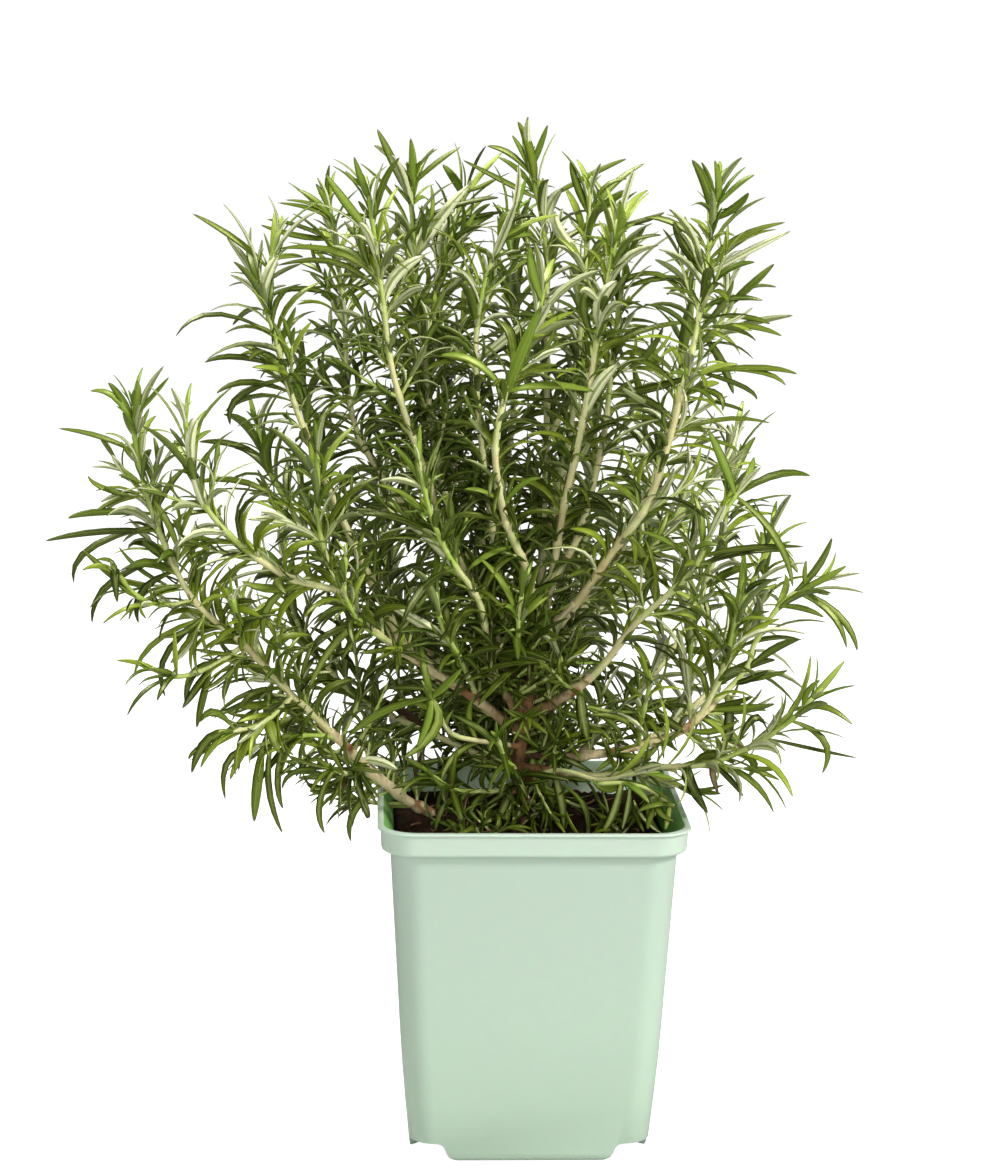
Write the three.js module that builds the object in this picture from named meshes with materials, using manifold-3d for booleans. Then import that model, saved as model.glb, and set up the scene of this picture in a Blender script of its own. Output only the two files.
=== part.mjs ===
// A potted rosemary bush: a square plastic pot, the soil in it, a woody trunk, a low side branch with its
// own hole in the soil, and a leafy stem for each shoot. Millimetres, +Z up. The origin is the centre of
// the pot's underside, on the surface that it stands on; -Y is the front.
import * as THREE from 'three';
import { mergeVertices } from 'three/addons/utils/BufferGeometryUtils.js';
import Module from 'manifold-3d';

const wasm = await Module();
wasm.setup();

// Pot: half widths are from the centre to the middle of a side.
const potHeight = 125;
const lipHalf = 55.5;
const lipHeight = 1;
const bandTopHalf = 54.5;
const bandBottomHalf = 54.2;
const bandHeight = 9;
const bandRound = 1.5;
const bodyTopHalf = 51;
const kneeHalf = 46.3;
const kneeHeight = 36;
const footHalf = 42.9;
const footRound = 1.6;
const roundShare = 0.3;
const cornerRadius = 12;
const cornerSteps = 4;
const wall = 1.3;
const rimWidth = 2.2;
const innerRound = 2;

// Channels under the pot run in from its four corners, and leave a foot in the middle of each side.
const channelWidth = 20;
const channelTopWidth = 17;
const channelHeight = 7;
const channelStart = 18;
const channelEnd = 80;
const drainRadius = 3;
const drainDistance = 26;
const drainSides = 8;

// Soil: its surface is a little below the rim, and lumpy.
const fitGap = 0.3;
const soilHeight = 113;
const soilBottom = 2;
const soilEdgeDrop = 0.8;
const lumpHeight = 1.3;
const lumpPitch = 9;
const soilRings = 4;

// Stems: the holes that they stand in, and how finely they are built.
const holeGap = 0.8;
const holeSides = 8;
const woodSides = 5;
const leafySides = 4;
const woodStep = 12;
const tipRadius = 0.7;
const jointGap = 0.35;
const spineStep = 2;
const claimStep = 5;
const searchStep = 0.5;
const searchMost = 30;
const holeLength = 45;
const trunkRadius = 3.5;
const trunkTopRadius = 2.3;
const trunkPoints = [[-1, 2, 78], [-1, 2, 98], [-1, 2, 117], [-4, 0, 136], [-2, -1, 148], [-1, -2, 160],
  [2, -4, 184]];

// Leaves: needles of three sides in facing pairs, each pair across the one below it.
const needleWidth = 2.9;
const needleThickness = 1.15;
const keelShare = 0.67;
const rootThin = 0.7;
const rootPerRadius = 0.4;
const firstWhorl = 2.5;
const whorlStepAtTip = 6.6;
const whorlStepGrowth = 1.5;
const whorlStepMost = 15;
const leafShortest = 17;
const leafLonger = 15;
const leafGrowth = 10;
const leafVary = 0.28;
const openAtTip = 24;
const openMore = 50;
const openVary = 14;
const ageLength = 70;
const lean = 0.35;
const hangLeast = 0.1;
const hangMore = 0.75;
const asideMost = 0.25;
const bareBase = 6;
const clearance = 0.35;
const bends = [0, 14, -14, 28, -28, 42, -42];
const lifts = [0, 12, -12];

// Every shoot: name, radius at its base, how far along it is wood that belongs to the trunk, and the
// points that it passes through, from where it leaves what carries it to its tip.
const shoots = [
  ['centre_front', 2.1, 22, [2, -4, 183], [-2, -12, 209], [-10, -22, 228], [-14, -28, 245], [-15, -31, 260],
    [-11, -30, 279], [-1, -26, 301], [1, -24, 312]],
  ['centre_right', 2.0, 24, [2, -4, 183], [7, -4, 207], [10, -8, 230], [16, -12, 261], [21, -12, 293],
    [26, -10, 321], [28, -8, 336]],
  ['tall_right', 2.1, 22, [2, -4, 183], [15, -10, 198], [27, -22, 219], [39, -30, 239], [47, -34, 268],
    [54, -32, 299], [58, -28, 326], [61, -25, 349]],
  ['right_front', 2.0, 34, [-1, -2, 156], [10, -10, 163], [23, -20, 176], [36, -30, 196], [53, -40, 215],
    [60, -44, 231], [69, -44, 245]],
  ['right_side', 2.1, 70, [-3, 0, 141], [18, 0, 140], [40, -2, 144], [59, -4, 153], [69, -8, 173],
    [74, -12, 196], [80, -14, 211]],
  ['right_outer', 1.6, 12, [59, -4, 153], [79, 4, 171], [83, 8, 181], [94, 12, 196], [107, 14, 203]],
  ['low_right', 1.7, 20, [-4, 0, 136], [25, -14, 136], [43, -26, 142], [60, -34, 145], [74, -40, 152],
    [88, -46, 163], [96, -50, 173]],
  ['front_right_small', 1.3, 8, [-3, 0, 130], [10, -14, 138], [24, -24, 137], [37, -34, 142]],
  ['front_left_small', 1.4, 8, [-3, 0, 143], [-12, -10, 147], [-21, -18, 150], [-30, -26, 155],
    [-37, -34, 169]],
  ['low_left', 2.3, 88, [-24, 18, 88], [-29, 17, 101], [-34, 14, 113], [-45, 3, 122.5], [-53, -1, 130],
    [-61, -4, 138], [-70, -8, 148], [-86, -18, 166], [-103, -26, 186], [-120, -32, 203], [-130, -34, 223],
    [-136, -34, 240], [-140, -32, 258], [-141, -30, 271]],
  ['left_front', 1.8, 26, [-2, -1, 151], [-14, -14, 176], [-20, -26, 202], [-31, -38, 220], [-38, -46, 237],
    [-42, -48, 255]],
  ['left_side', 2.0, 72, [-2, -1, 147], [-19, -8, 162], [-36, -16, 175], [-54, -26, 189], [-68, -34, 207],
    [-76, -36, 228], [-77, -34, 256]],
  ['tall_left', 2.1, 50, [-1, -2, 159], [-10, -4, 178], [-19, -6, 198], [-30, -8, 221], [-43, -12, 257],
    [-51, -12, 282], [-55, -10, 310], [-60, -6, 345]],
  ['tall_left_rear', 1.9, 6, [-19, -6, 198], [-29, 8, 225], [-36, 16, 257], [-39, 20, 282], [-43, 22, 318],
    [-45, 22, 349]],
  ['left_rear', 1.7, 0, [-30, -8, 221], [-48, 8, 233], [-62, 20, 253], [-67, 26, 271], [-69, 30, 303],
    [-74, 30, 338]],
  ['upper_left', 1.9, 8, [-45, -21, 182], [-60, -14, 211], [-73, -10, 239], [-86, -10, 271], [-93, -12, 296],
    [-97, -12, 310], [-94, -12, 320], [-91, -12, 331]],
  ['upper_left_rear', 1.7, 6, [-34, -15, 174], [-55, 0, 193], [-74, 10, 210], [-88, 16, 229], [-97, 20, 245],
    [-100, 20, 259]],
  ['outer_left', 1.6, 0, [-68, -34, 207], [-87, -40, 213], [-104, -46, 226], [-115, -48, 239],
    [-120, -48, 254], [-122, -46, 269]],
  ['low_left_sprig', 1.1, 0, [-103, -26, 186], [-104, -40, 196], [-106, -48, 207]],
  ['low_left_spur_a', 1.2, 0, [-70, -8, 148], [-78, -16, 151], [-88, -27, 153], [-97, -35, 152]],
  ['low_left_spur_b', 1.2, 0, [-86, -18, 166], [-91, -30, 163], [-98, -40, 160], [-106, -48, 160]],
  ['low_left_spur_c', 1.2, 0, [-103, -26, 186], [-114, -34, 180], [-125, -42, 178], [-134, -48, 182]],
  ['low_left_spur_d', 1.1, 0, [-120, -32, 203], [-130, -40, 203], [-139, -45, 207], [-145, -48, 215]],
  ['low_left_spur_e', 1.1, 0, [-61, -4, 138], [-64, -16, 138], [-67, -28, 140], [-71, -38, 144]],
  ['centre_rear', 1.9, 14, [2, -4, 183], [4, 10, 211], [6, 26, 253], [6, 34, 296], [5, 36, 326],
    [-1, 36, 353]],
  ['centre_right_rear', 1.8, 0, [4, 10, 211], [10, 14, 235], [15, 22, 262], [18, 28, 297], [20, 30, 326],
    [21, 30, 345]],
  ['centre_left', 1.8, 14, [0, -3, 171], [-10, 0, 201], [-17, 4, 241], [-21, 8, 284], [-18, 10, 312],
    [-8, 10, 337]],
  ['centre_left_rear', 1.7, 0, [-10, 0, 201], [-23, 18, 231], [-31, 34, 266], [-34, 40, 303], [-31, 42, 324],
    [-24, 42, 343]],
  ['right_middle', 1.7, 0, [7, -4, 205], [17, 0, 223], [25, 2, 256], [28, 2, 288], [30, 0, 307],
    [32, 0, 323]],
  ['tall_right_sprig', 1.0, 0, [54, -32, 299], [60, -24, 296], [65, -18, 303], [67, -16, 314]],
  ['right_rear', 1.6, 0, [15, -10, 198], [35, 4, 212], [53, 14, 227], [70, 20, 243]],
  ['right_side_sprig', 1.3, 0, [59, -4, 153], [59, 8, 163], [60, 14, 180], [59, 18, 198]],
  ['right_low_sprig', 1.1, 0, [40, -2, 144], [40, -10, 155], [42, -18, 170]],
  ['front_sprig', 1.2, 6, [0, -3, 171], [-5, -18, 183], [-6, -26, 193], [-5, -28, 206]],
  ['left_sprig', 1.3, 6, [-19, -8, 162], [-26, -22, 180], [-33, -32, 194], [-36, -34, 208]],
  ['front_low_sprig', 1.2, 6, [-3, 0, 130], [-6, -16, 139], [-10, -26, 145], [-13, -34, 154]],
  ['front_left_low_sprig', 1.2, 6, [-3, 1, 126], [-16, -10, 129], [-27, -20, 132], [-36, -28, 139]],
  ['left_side_sprig', 1.2, 4, [-50, -24, 186], [-62, -40, 197], [-67, -48, 209], [-67, -50, 222]],
  ['rear_a', 1.9, 30, [-2, -1, 151], [-8, 25, 172], [-22, 50, 205], [-34, 62, 245], [-38, 66, 290]],
  ['rear_b', 1.9, 30, [-4, 0, 136], [6, 25, 155], [18, 52, 185], [26, 70, 225], [28, 76, 270]],
  ['rear_c', 1.8, 26, [-1, -2, 159], [16, 20, 185], [38, 40, 215], [54, 50, 255], [60, 52, 297]],
  ['rear_d', 1.8, 30, [-2, -1, 147], [-30, 22, 168], [-58, 42, 198], [-78, 52, 235], [-84, 54, 272]],
  ['rear_e', 1.8, 30, [-4, 0, 136], [-20, 32, 146], [-40, 64, 165], [-52, 86, 196], [-55, 94, 232]],
  ['rear_f', 1.8, 30, [-3, 0, 141], [8, 37, 150], [16, 68, 170], [18, 88, 205], [16, 93, 245]],
  ['rear_g', 1.7, 10, [18, 0, 140], [40, 26, 155], [62, 46, 180], [76, 56, 215], [80, 58, 250]],
  ['rear_h', 1.7, 26, [-3, 0, 128], [-10, 40, 136], [-14, 72, 143], [-16, 94, 162], [-17, 101, 190]],
  ['rear_i', 1.7, 0, [6, 26, 253], [18, 42, 272], [28, 52, 300], [32, 54, 335]],
  ['rear_j', 1.7, 0, [-17, 30, 185], [-12, 40, 215], [-6, 52, 250], [-4, 58, 290], [-6, 60, 326]],
  ['rear_k', 1.6, 10, [40, -2, 144], [58, 22, 150], [76, 44, 162], [90, 56, 186], [95, 60, 216]],
  ['rear_l', 1.6, 20, [-4, 0, 134], [-34, 24, 142], [-62, 48, 151], [-84, 62, 172], [-92, 68, 202]],
  ['rear_m', 1.5, 0, [16, 68, 170], [34, 80, 182], [48, 85, 202], [54, 86, 228]],
];

const colours = { pot: 0xb9dcc3, soil: 0x33241b, bark: 0x7c5f48, leaf: 0x4d7a34 };

// A closed geometry as a solid that can be joined and cut.
function solidOf(geometry) {
  const bare = new THREE.BufferGeometry();
  bare.setAttribute('position', geometry.getAttribute('position'));
  bare.setIndex(geometry.getIndex());
  const merged = mergeVertices(bare, 1e-4);
  return new wasm.Manifold(new wasm.Mesh({
    numProp: 3,
    vertProperties: Float32Array.from(merged.getAttribute('position').array),
    triVerts: Uint32Array.from(merged.getIndex().array),
  }));
}

function geometryOf(solid) {
  const mesh = solid.getMesh();
  const geometry = new THREE.BufferGeometry();
  geometry.setAttribute('position', new THREE.BufferAttribute(Float32Array.from(mesh.vertProperties), 3));
  geometry.setIndex(Array.from(mesh.triVerts));
  return geometry;
}

// Skins a stack of rings into a closed geometry. Each ring turns counter-clockwise about the way that the
// stack grows, and a ring of one point closes to a tip.
function skin(rings) {
  const positions = [];
  const starts = [];
  for (const ring of rings) {
    starts.push(positions.length / 3);
    ring.forEach((point) => positions.push(point.x, point.y, point.z));
  }
  const faces = [];
  for (let i = 0; i + 1 < rings.length; i++) {
    const lower = rings[i].length;
    const upper = rings[i + 1].length;
    for (let j = 0; j < Math.max(lower, upper); j++) {
      const a = starts[i] + (j % lower);
      const b = starts[i] + ((j + 1) % lower);
      const c = starts[i + 1] + ((j + 1) % upper);
      const d = starts[i + 1] + (j % upper);
      if (lower > 1) faces.push(a, b, c);
      if (upper > 1) faces.push(a, c, d);
    }
  }
  const last = rings.length - 1;
  for (let j = 1; j + 1 < rings[0].length; j++) faces.push(starts[0], starts[0] + j + 1, starts[0] + j);
  for (let j = 1; j + 1 < rings[last].length; j++) {
    faces.push(starts[last], starts[last] + j, starts[last] + j + 1);
  }
  const geometry = new THREE.BufferGeometry();
  geometry.setAttribute('position', new THREE.Float32BufferAttribute(positions, 3));
  geometry.setIndex(faces);
  return geometry;
}

// A level ring in the outline of a square with round corners.
function squareRing(half, radius, z, lift = () => 0) {
  const ring = [];
  for (let corner = 0; corner < 4; corner++) {
    for (let i = 0; i <= cornerSteps; i++) {
      const angle = (corner + i / cornerSteps) * Math.PI / 2;
      const signX = corner === 0 || corner === 3 ? 1 : -1;
      const signY = corner < 2 ? 1 : -1;
      const x = signX * (half - radius) + radius * Math.cos(angle);
      const y = signY * (half - radius) + radius * Math.sin(angle);
      ring.push(new THREE.Vector3(x, y, z + lift(x, y)));
    }
  }
  return ring;
}

function stack(levels) {
  return skin(levels.map(([half, z]) => squareRing(half, cornerRadius + Math.min(0, half - footHalf), z)));
}

// Half width of the body's outside at a height. It draws in faster below the knee.
function bodyHalf(z) {
  return z < kneeHeight ? THREE.MathUtils.mapLinear(z, 0, kneeHeight, footHalf, kneeHalf)
    : THREE.MathUtils.mapLinear(z, kneeHeight, potHeight - bandHeight, kneeHalf, bodyTopHalf);
}

// The channels, with a wall's thickness added for the side that faces the soil.
function channels(growth) {
  const wide = channelWidth / 2 + growth;
  const narrow = channelTopWidth / 2 + growth;
  const section = new THREE.Shape();
  section.moveTo(-wide, -potHeight);
  section.lineTo(wide, -potHeight);
  section.lineTo(wide, 0);
  section.lineTo(narrow, channelHeight + growth);
  section.lineTo(-narrow, channelHeight + growth);
  section.lineTo(-wide, 0);
  let all = null;
  for (let corner = 0; corner < 4; corner++) {
    const bar = new THREE.ExtrudeGeometry(section, { depth: channelEnd, bevelEnabled: false });
    bar.rotateX(Math.PI / 2);
    bar.rotateZ(Math.PI);
    bar.translate(0, channelStart - growth, 0);
    bar.rotateZ(Math.PI / 4 + corner * Math.PI / 2);
    const solid = solidOf(bar);
    all = all ? all.add(solid) : solid;
  }
  return all;
}

// The room inside the pot, drawn in by a gap for what fills it.
function cavity(gap, floor, top) {
  const inset = wall + gap;
  const step = potHeight - bandHeight;
  const levels = [
    [bodyHalf(floor) - inset - innerRound, floor + gap],
    [bodyHalf(floor + innerRound) - inset, floor + innerRound + gap],
    [kneeHalf - inset, kneeHeight],
  ];
  if (top <= step) {
    levels.push([bodyHalf(top) - inset, top]);
  } else {
    levels.push([bodyHalf(step) - inset, step], [lipHalf - rimWidth - gap, potHeight]);
    levels.push([lipHalf - rimWidth - gap, top]);
  }
  return solidOf(stack(levels)).subtract(channels(inset));
}

function pot() {
  const bandFoot = potHeight - bandHeight;
  const lipFoot = potHeight - lipHeight;
  const outside = solidOf(stack([
    [footHalf - footRound, 0],
    [footHalf - footRound * roundShare, footRound * roundShare],
    [bodyHalf(footRound), footRound],
    [kneeHalf, kneeHeight],
    [bodyTopHalf, bandFoot],
    [bandBottomHalf - bandRound, bandFoot],
    [bandBottomHalf, bandFoot + bandRound],
    [bandTopHalf, lipFoot],
    [lipHalf, lipFoot],
    [lipHalf, potHeight - lipHeight / 2],
    [lipHalf - lipHeight / 2, potHeight],
  ]));
  let solid = outside.subtract(channels(0)).subtract(cavity(0, wall, potHeight + 1));
  for (let corner = 0; corner < 4; corner++) {
    const angle = Math.PI / 4 + corner * Math.PI / 2;
    const drill = new THREE.CylinderGeometry(drainRadius, drainRadius, potHeight / 2, drainSides);
    drill.rotateX(Math.PI / 2);
    drill.translate(drainDistance * Math.cos(angle), drainDistance * Math.sin(angle), 0);
    solid = solid.subtract(solidOf(drill));
  }
  return solid;
}

function lump(x, y) {
  const wave = Math.sin(x / lumpPitch * 2.1 + 1.3) * Math.cos(y / lumpPitch * 1.7 - 0.6);
  return lumpHeight * (wave + 0.5 * Math.sin((x + 2 * y) / lumpPitch * 2.9));
}

// Soil, with a plain hole for each stem that stands in it.
function soil(holes) {
  const inset = wall + fitGap;
  const top = soilHeight;
  const rings = [
    squareRing(bodyHalf(0) - inset - innerRound, cornerRadius - innerRound, soilBottom),
    squareRing(bodyHalf(innerRound) - inset, cornerRadius, soilBottom + innerRound),
    squareRing(kneeHalf - inset, cornerRadius, kneeHeight),
    squareRing(bodyHalf(top) - inset, cornerRadius, top - 2 * lumpHeight),
  ];
  for (let i = 0; i < soilRings; i++) {
    const share = 1 - i / soilRings;
    const half = (bodyHalf(top) - inset) * share;
    rings.push(squareRing(half, cornerRadius * share, top - soilEdgeDrop * share, lump));
  }
  rings.push([new THREE.Vector3(0, 0, top)]);
  let solid = solidOf(skin(rings)).subtract(channels(inset));
  for (const hole of holes) solid = solid.subtract(hole);
  return solid;
}

function vector(values) {
  return new THREE.Vector3(...values);
}

// A stem's centre line, at even steps, with a direction and a side at each point. The sides turn no more
// than the stem does.
function spineOf(points) {
  const curve = new THREE.CatmullRomCurve3(points.map(vector), false, 'catmullrom', 0.5);
  const length = curve.getLength();
  const count = Math.ceil(length / spineStep);
  const line = curve.getSpacedPoints(count);
  const along = line.map((point, i) => line[Math.min(i + 1, count)].clone()
    .sub(line[Math.max(i - 1, 0)]).normalize());
  const across = [];
  let side = new THREE.Vector3(0, 1, 0);
  for (const direction of along) {
    side = side.clone().addScaledVector(direction, -side.dot(direction)).normalize();
    across.push(side);
  }
  return { line, along, across, length };
}

// The point, direction and side at a distance along a centre line.
function at(spine, distance) {
  const place = THREE.MathUtils.clamp(distance / spine.length, 0, 1) * (spine.line.length - 1);
  const low = Math.min(Math.floor(place), spine.line.length - 2);
  const share = place - low;
  return {
    point: spine.line[low].clone().lerp(spine.line[low + 1], share),
    along: spine.along[low].clone().lerp(spine.along[low + 1], share).normalize(),
    across: spine.across[low].clone().lerp(spine.across[low + 1], share).normalize(),
  };
}

// The ring of corners around a stem at a distance along it.
function ringOf(spine, distance, radiusAt, sides, turn = 0) {
  const { point, along, across } = at(spine, distance);
  const other = along.clone().cross(across);
  const ring = [];
  for (let j = 0; j < sides; j++) {
    const angle = turn + (j + 0.5) / sides * Math.PI * 2;
    ring.push(point.clone()
      .addScaledVector(across, radiusAt(distance) * Math.cos(angle))
      .addScaledVector(other, radiusAt(distance) * Math.sin(angle)));
  }
  return ring;
}

// A length of stem between two distances along its centre line.
function tube(spine, from, to, radiusAt, sides, step) {
  const count = Math.max(1, Math.round((to - from) / step));
  const rings = [];
  for (let i = 0; i <= count; i++) {
    rings.push(ringOf(spine, from + (to - from) * i / count, radiusAt, sides));
  }
  return skin(rings);
}

// A number from 0 to 1 that looks random and is always the same for the same three numbers.
function chance(shoot, whorl, use) {
  const wave = Math.sin(shoot * 127.1 + whorl * 311.7 + use * 74.7 + 5.3) * 43758.5453;
  return wave - Math.floor(wave);
}

// A leaf's centre line: it leaves the stem at an angle that opens from the tip down, arches outwards, and
// hangs more the further it is from the tip.
function leafLine(place, distance, turn, lift, shoot, whorl) {
  const { point, along, across } = place;
  const out = across.clone().applyAxisAngle(along, turn);
  const age = THREE.MathUtils.smoothstep(distance, 0, ageLength);
  const vary = 1 + leafVary * (chance(shoot, whorl, 1) - 0.5);
  const length = (leafShortest + leafLonger * (1 - Math.exp(-distance / leafGrowth))) * vary;
  const spread = openMore * age + openVary * (chance(shoot, whorl, 2) - 0.5);
  const open = THREE.MathUtils.degToRad(openAtTip + spread + lift);
  const start = along.clone().multiplyScalar(Math.cos(open)).addScaledVector(out, Math.sin(open));
  const end = start.clone().addScaledVector(out, lean).add(new THREE.Vector3(0, 0, -1)
    .multiplyScalar(hangLeast + hangMore * age * chance(shoot, whorl, 3))).normalize();
  const bend = point.clone().addScaledVector(start, length * 0.5);
  const tip = bend.clone().addScaledVector(end, length * 0.5);
  const middle = point.clone().multiplyScalar(0.25).addScaledVector(bend, 0.5).addScaledVector(tip, 0.25);
  return { point, middle, tip, along };
}

// The corners of a needle's widest part: two above, and a keel below.
function needleCorners({ point, middle, tip, along }) {
  const heading = tip.clone().sub(point).normalize();
  const top = along.clone().addScaledVector(heading, -along.dot(heading)).normalize();
  const side = top.clone().cross(heading);
  return [[0, -keelShare], [0.5, 1 - keelShare], [-0.5, 1 - keelShare]].map(([x, y]) => middle.clone()
    .addScaledVector(side, x * needleWidth).addScaledVector(top, y * needleThickness));
}

// A leafy stem in one skin. Each needle grows out of a side of the stem, between two rings that are as far
// apart as its root is thick. Whorls run from the base up, each with the needles on two facing sides.
function leafySkin(spine, start, radiusAt, turn, whorlsUp) {
  const vertices = [];
  const faces = [];
  const add = (points) => points.map((point) => vertices.push(point) - 1);
  let lower = add(ringOf(spine, start, radiusAt, leafySides, turn));
  faces.push([lower[0], lower[2], lower[1]], [lower[0], lower[3], lower[2]]);
  const wallUp = (upper, grown) => {
    for (let j = 0; j < leafySides; j++) {
      const next = (j + 1) % leafySides;
      const [a, b, c, d] = [lower[j], lower[next], upper[next], upper[j]];
      if (grown[j]) {
        const [keel, right, left] = add(needleCorners(grown[j]));
        const [tip] = add([grown[j].tip]);
        faces.push([a, b, keel], [b, c, right], [b, right, keel], [c, d, left], [c, left, right]);
        faces.push([d, a, keel], [d, keel, left]);
        faces.push([keel, right, tip], [right, left, tip], [left, keel, tip]);
      } else {
        faces.push([a, b, c], [a, c, d]);
      }
    }
    lower = upper;
  };
  for (const { distance, needles } of whorlsUp) {
    const half = (rootThin + radiusAt(distance) * rootPerRadius) / 2;
    wallUp(add(ringOf(spine, distance - half, radiusAt, leafySides, turn)), {});
    wallUp(add(ringOf(spine, distance + half, radiusAt, leafySides, turn)), needles);
  }
  const [end] = add([at(spine, spine.length).point]);
  for (let j = 0; j < leafySides; j++) faces.push([lower[j], lower[(j + 1) % leafySides], end]);
  const geometry = new THREE.BufferGeometry().setFromPoints(vertices);
  geometry.setIndex(faces.flat());
  return geometry;
}

// The shortest distance between two straight lengths, ab and cd.
function apart(a, b, c, d) {
  const u = b.clone().sub(a);
  const v = d.clone().sub(c);
  const w = a.clone().sub(c);
  const uu = u.dot(u);
  const uv = u.dot(v);
  const vv = v.dot(v);
  const uw = u.dot(w);
  const vw = v.dot(w);
  const spread = uu * vv - uv * uv;
  let s = spread > 1e-9 ? THREE.MathUtils.clamp((uv * vw - vv * uw) / spread, 0, 1) : 0;
  const t = THREE.MathUtils.clamp((uv * s + vw) / vv, 0, 1);
  s = THREE.MathUtils.clamp((uv * t - uw) / uu, 0, 1);
  return w.addScaledVector(u, s).addScaledVector(v, -t).length();
}

// True where a ball of this radius is clear of the pot and of the soil in it.
function clearOfPot(point, radius) {
  const reach = Math.max(Math.abs(point.x), Math.abs(point.y));
  if (point.z > potHeight + radius) return true;
  if (reach > lipHalf + radius) return true;
  return reach < bodyTopHalf - wall - radius && point.z > soilHeight + 2 * lumpHeight + radius;
}

// What the stems and needles already fill, as straight lengths with a radius.
const lengths = [];

function claim(owner, a, b, radius, isRoot = false) {
  lengths.push({ owner, a, b, radius, isRoot });
}

const woodName = (name) => `${name}_wood`;

function claimStem(owner, spine, from, to, radiusAt) {
  const count = Math.max(1, Math.round((to - from) / claimStep));
  for (let i = 0; i < count; i++) {
    const a = from + (to - from) * i / count;
    const b = from + (to - from) * (i + 1) / count;
    claim(owner, at(spine, a).point, at(spine, b).point, radiusAt(a));
  }
}

// The owner of the first thing that a length would come too close to, or null where it is clear. Its own
// shoot is left out, with the wood that carries it, unless the whole of the shoot is to be counted.
function meets(name, a, b, radius, whole = false) {
  for (let i = 0; i <= 4; i++) {
    if (!clearOfPot(a.clone().lerp(b, i / 4), radius + clearance)) return 'pot';
  }
  const other = lengths.find((length) => (whole || length.owner !== name) && length.owner !== woodName(name)
    && !(length.owner === name && length.isRoot)
    && apart(a, b, length.a, length.b) < radius + length.radius + clearance);
  return other ? other.owner : null;
}

// Where the leafy length of a shoot can start: past its wood, and clear of what carries it.
function leafyStart({ name, spine, radiusAt, woodLength }) {
  for (let extra = 0; extra < searchMost; extra += searchStep) {
    const start = woodLength + (woodLength > 0 ? jointGap : 0) + extra;
    const a = at(spine, start).point;
    const b = at(spine, start + claimStep).point;
    if (!meets(name, a, b, radiusAt(start))) return start;
  }
  throw new Error(`${name} has no clear place to start`);
}

function checkStem({ name, spine, radiusAt, start }) {
  for (let from = start; from + claimStep < spine.length; from += claimStep) {
    const a = at(spine, from).point;
    const b = at(spine, from + claimStep).point;
    const other = meets(name, a, b, radiusAt(from));
    if (other) throw new Error(`${name} meets ${other} at ${at(spine, from).point.toArray()}`);
  }
}

// Distances from the tip at which the leaves stand, close together at the tip and further apart below.
function whorls(length) {
  const distances = [];
  let distance = firstWhorl;
  while (distance < length) {
    distances.push(distance);
    distance += Math.min(whorlStepMost, whorlStepAtTip + whorlStepGrowth * distances.length);
  }
  return distances;
}

// The first way of holding a needle, from straight out to bent aside, that clears everything else.
function clearNeedle(name, lineFor) {
  for (const lift of lifts) {
    for (const bend of bends) {
      const line = lineFor(THREE.MathUtils.degToRad(bend), lift);
      const reach = needleWidth / 2;
      if (!meets(name, line.point, line.middle, reach) && !meets(name, line.middle, line.tip, reach, true)) {
        claim(name, line.point, line.middle, reach, true);
        claim(name, line.middle, line.tip, reach);
        return line;
      }
    }
  }
  return null;
}

function leafyStem({ name, index, spine, radiusAt, start }) {
  const turn = chance(index, 0, 0) * Math.PI * 2;
  const grown = whorls(spine.length - start - bareBase).map((distance, whorl) => {
    const place = at(spine, spine.length - distance);
    const needles = {};
    for (const facing of [0, 1]) {
      const key = whorl * 2 + facing;
      const side = (whorl + facing * 2) % leafySides;
      const aside = asideMost * (2 * chance(index, key, 4) - 1);
      const line = clearNeedle(name, (bend, lift) => leafLine(place, distance,
        turn + (side + 1) * Math.PI / 2 + aside + bend, lift, index, key));
      if (line) needles[side] = line;
    }
    return { distance: spine.length - distance, needles };
  });
  return leafySkin(spine, start, radiusAt, turn, grown.reverse());
}

const trunkSpine = spineOf(trunkPoints);
const trunkRadiusAt = (distance) => THREE.MathUtils.lerp(trunkRadius, trunkTopRadius,
  distance / trunkSpine.length);
claimStem('trunk', trunkSpine, 0, trunkSpine.length, trunkRadiusAt);

const stems = shoots.map(([name, radius, woodLength, ...points], index) => {
  const spine = spineOf(points);
  const radiusAt = (distance) => THREE.MathUtils.lerp(radius, tipRadius, distance / spine.length);
  if (woodLength > 0) claimStem(woodName(name), spine, 0, woodLength, radiusAt);
  return { name, index, spine, radiusAt, woodLength };
});
for (const stem of stems) {
  stem.start = leafyStart(stem);
  checkStem(stem);
  claimStem(stem.name, stem.spine, stem.start, stem.spine.length, stem.radiusAt);
}

const lowStem = stems.find(({ name }) => name === 'low_left');
const woodOf = ({ spine, radiusAt, woodLength }, from) => solidOf(
  tube(spine, from, woodLength, radiusAt, woodSides, woodStep));
const holeOf = (spine, radiusAt) => solidOf(
  tube(spine, 0, holeLength, (distance) => radiusAt(distance) + holeGap, holeSides, woodStep));

let trunk = solidOf(tube(trunkSpine, fitGap, trunkSpine.length, trunkRadiusAt, woodSides, woodStep));
for (const stem of stems) {
  if (stem.woodLength > 0 && stem !== lowStem) trunk = trunk.add(woodOf(stem, 0));
}

const group = new THREE.Group();

function place(name, geometry, color, roughness) {
  geometry.computeVertexNormals();
  const mesh = new THREE.Mesh(geometry, new THREE.MeshStandardMaterial({
    color, roughness, metalness: 0, flatShading: true,
  }));
  mesh.name = name;
  group.add(mesh);
}

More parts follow.
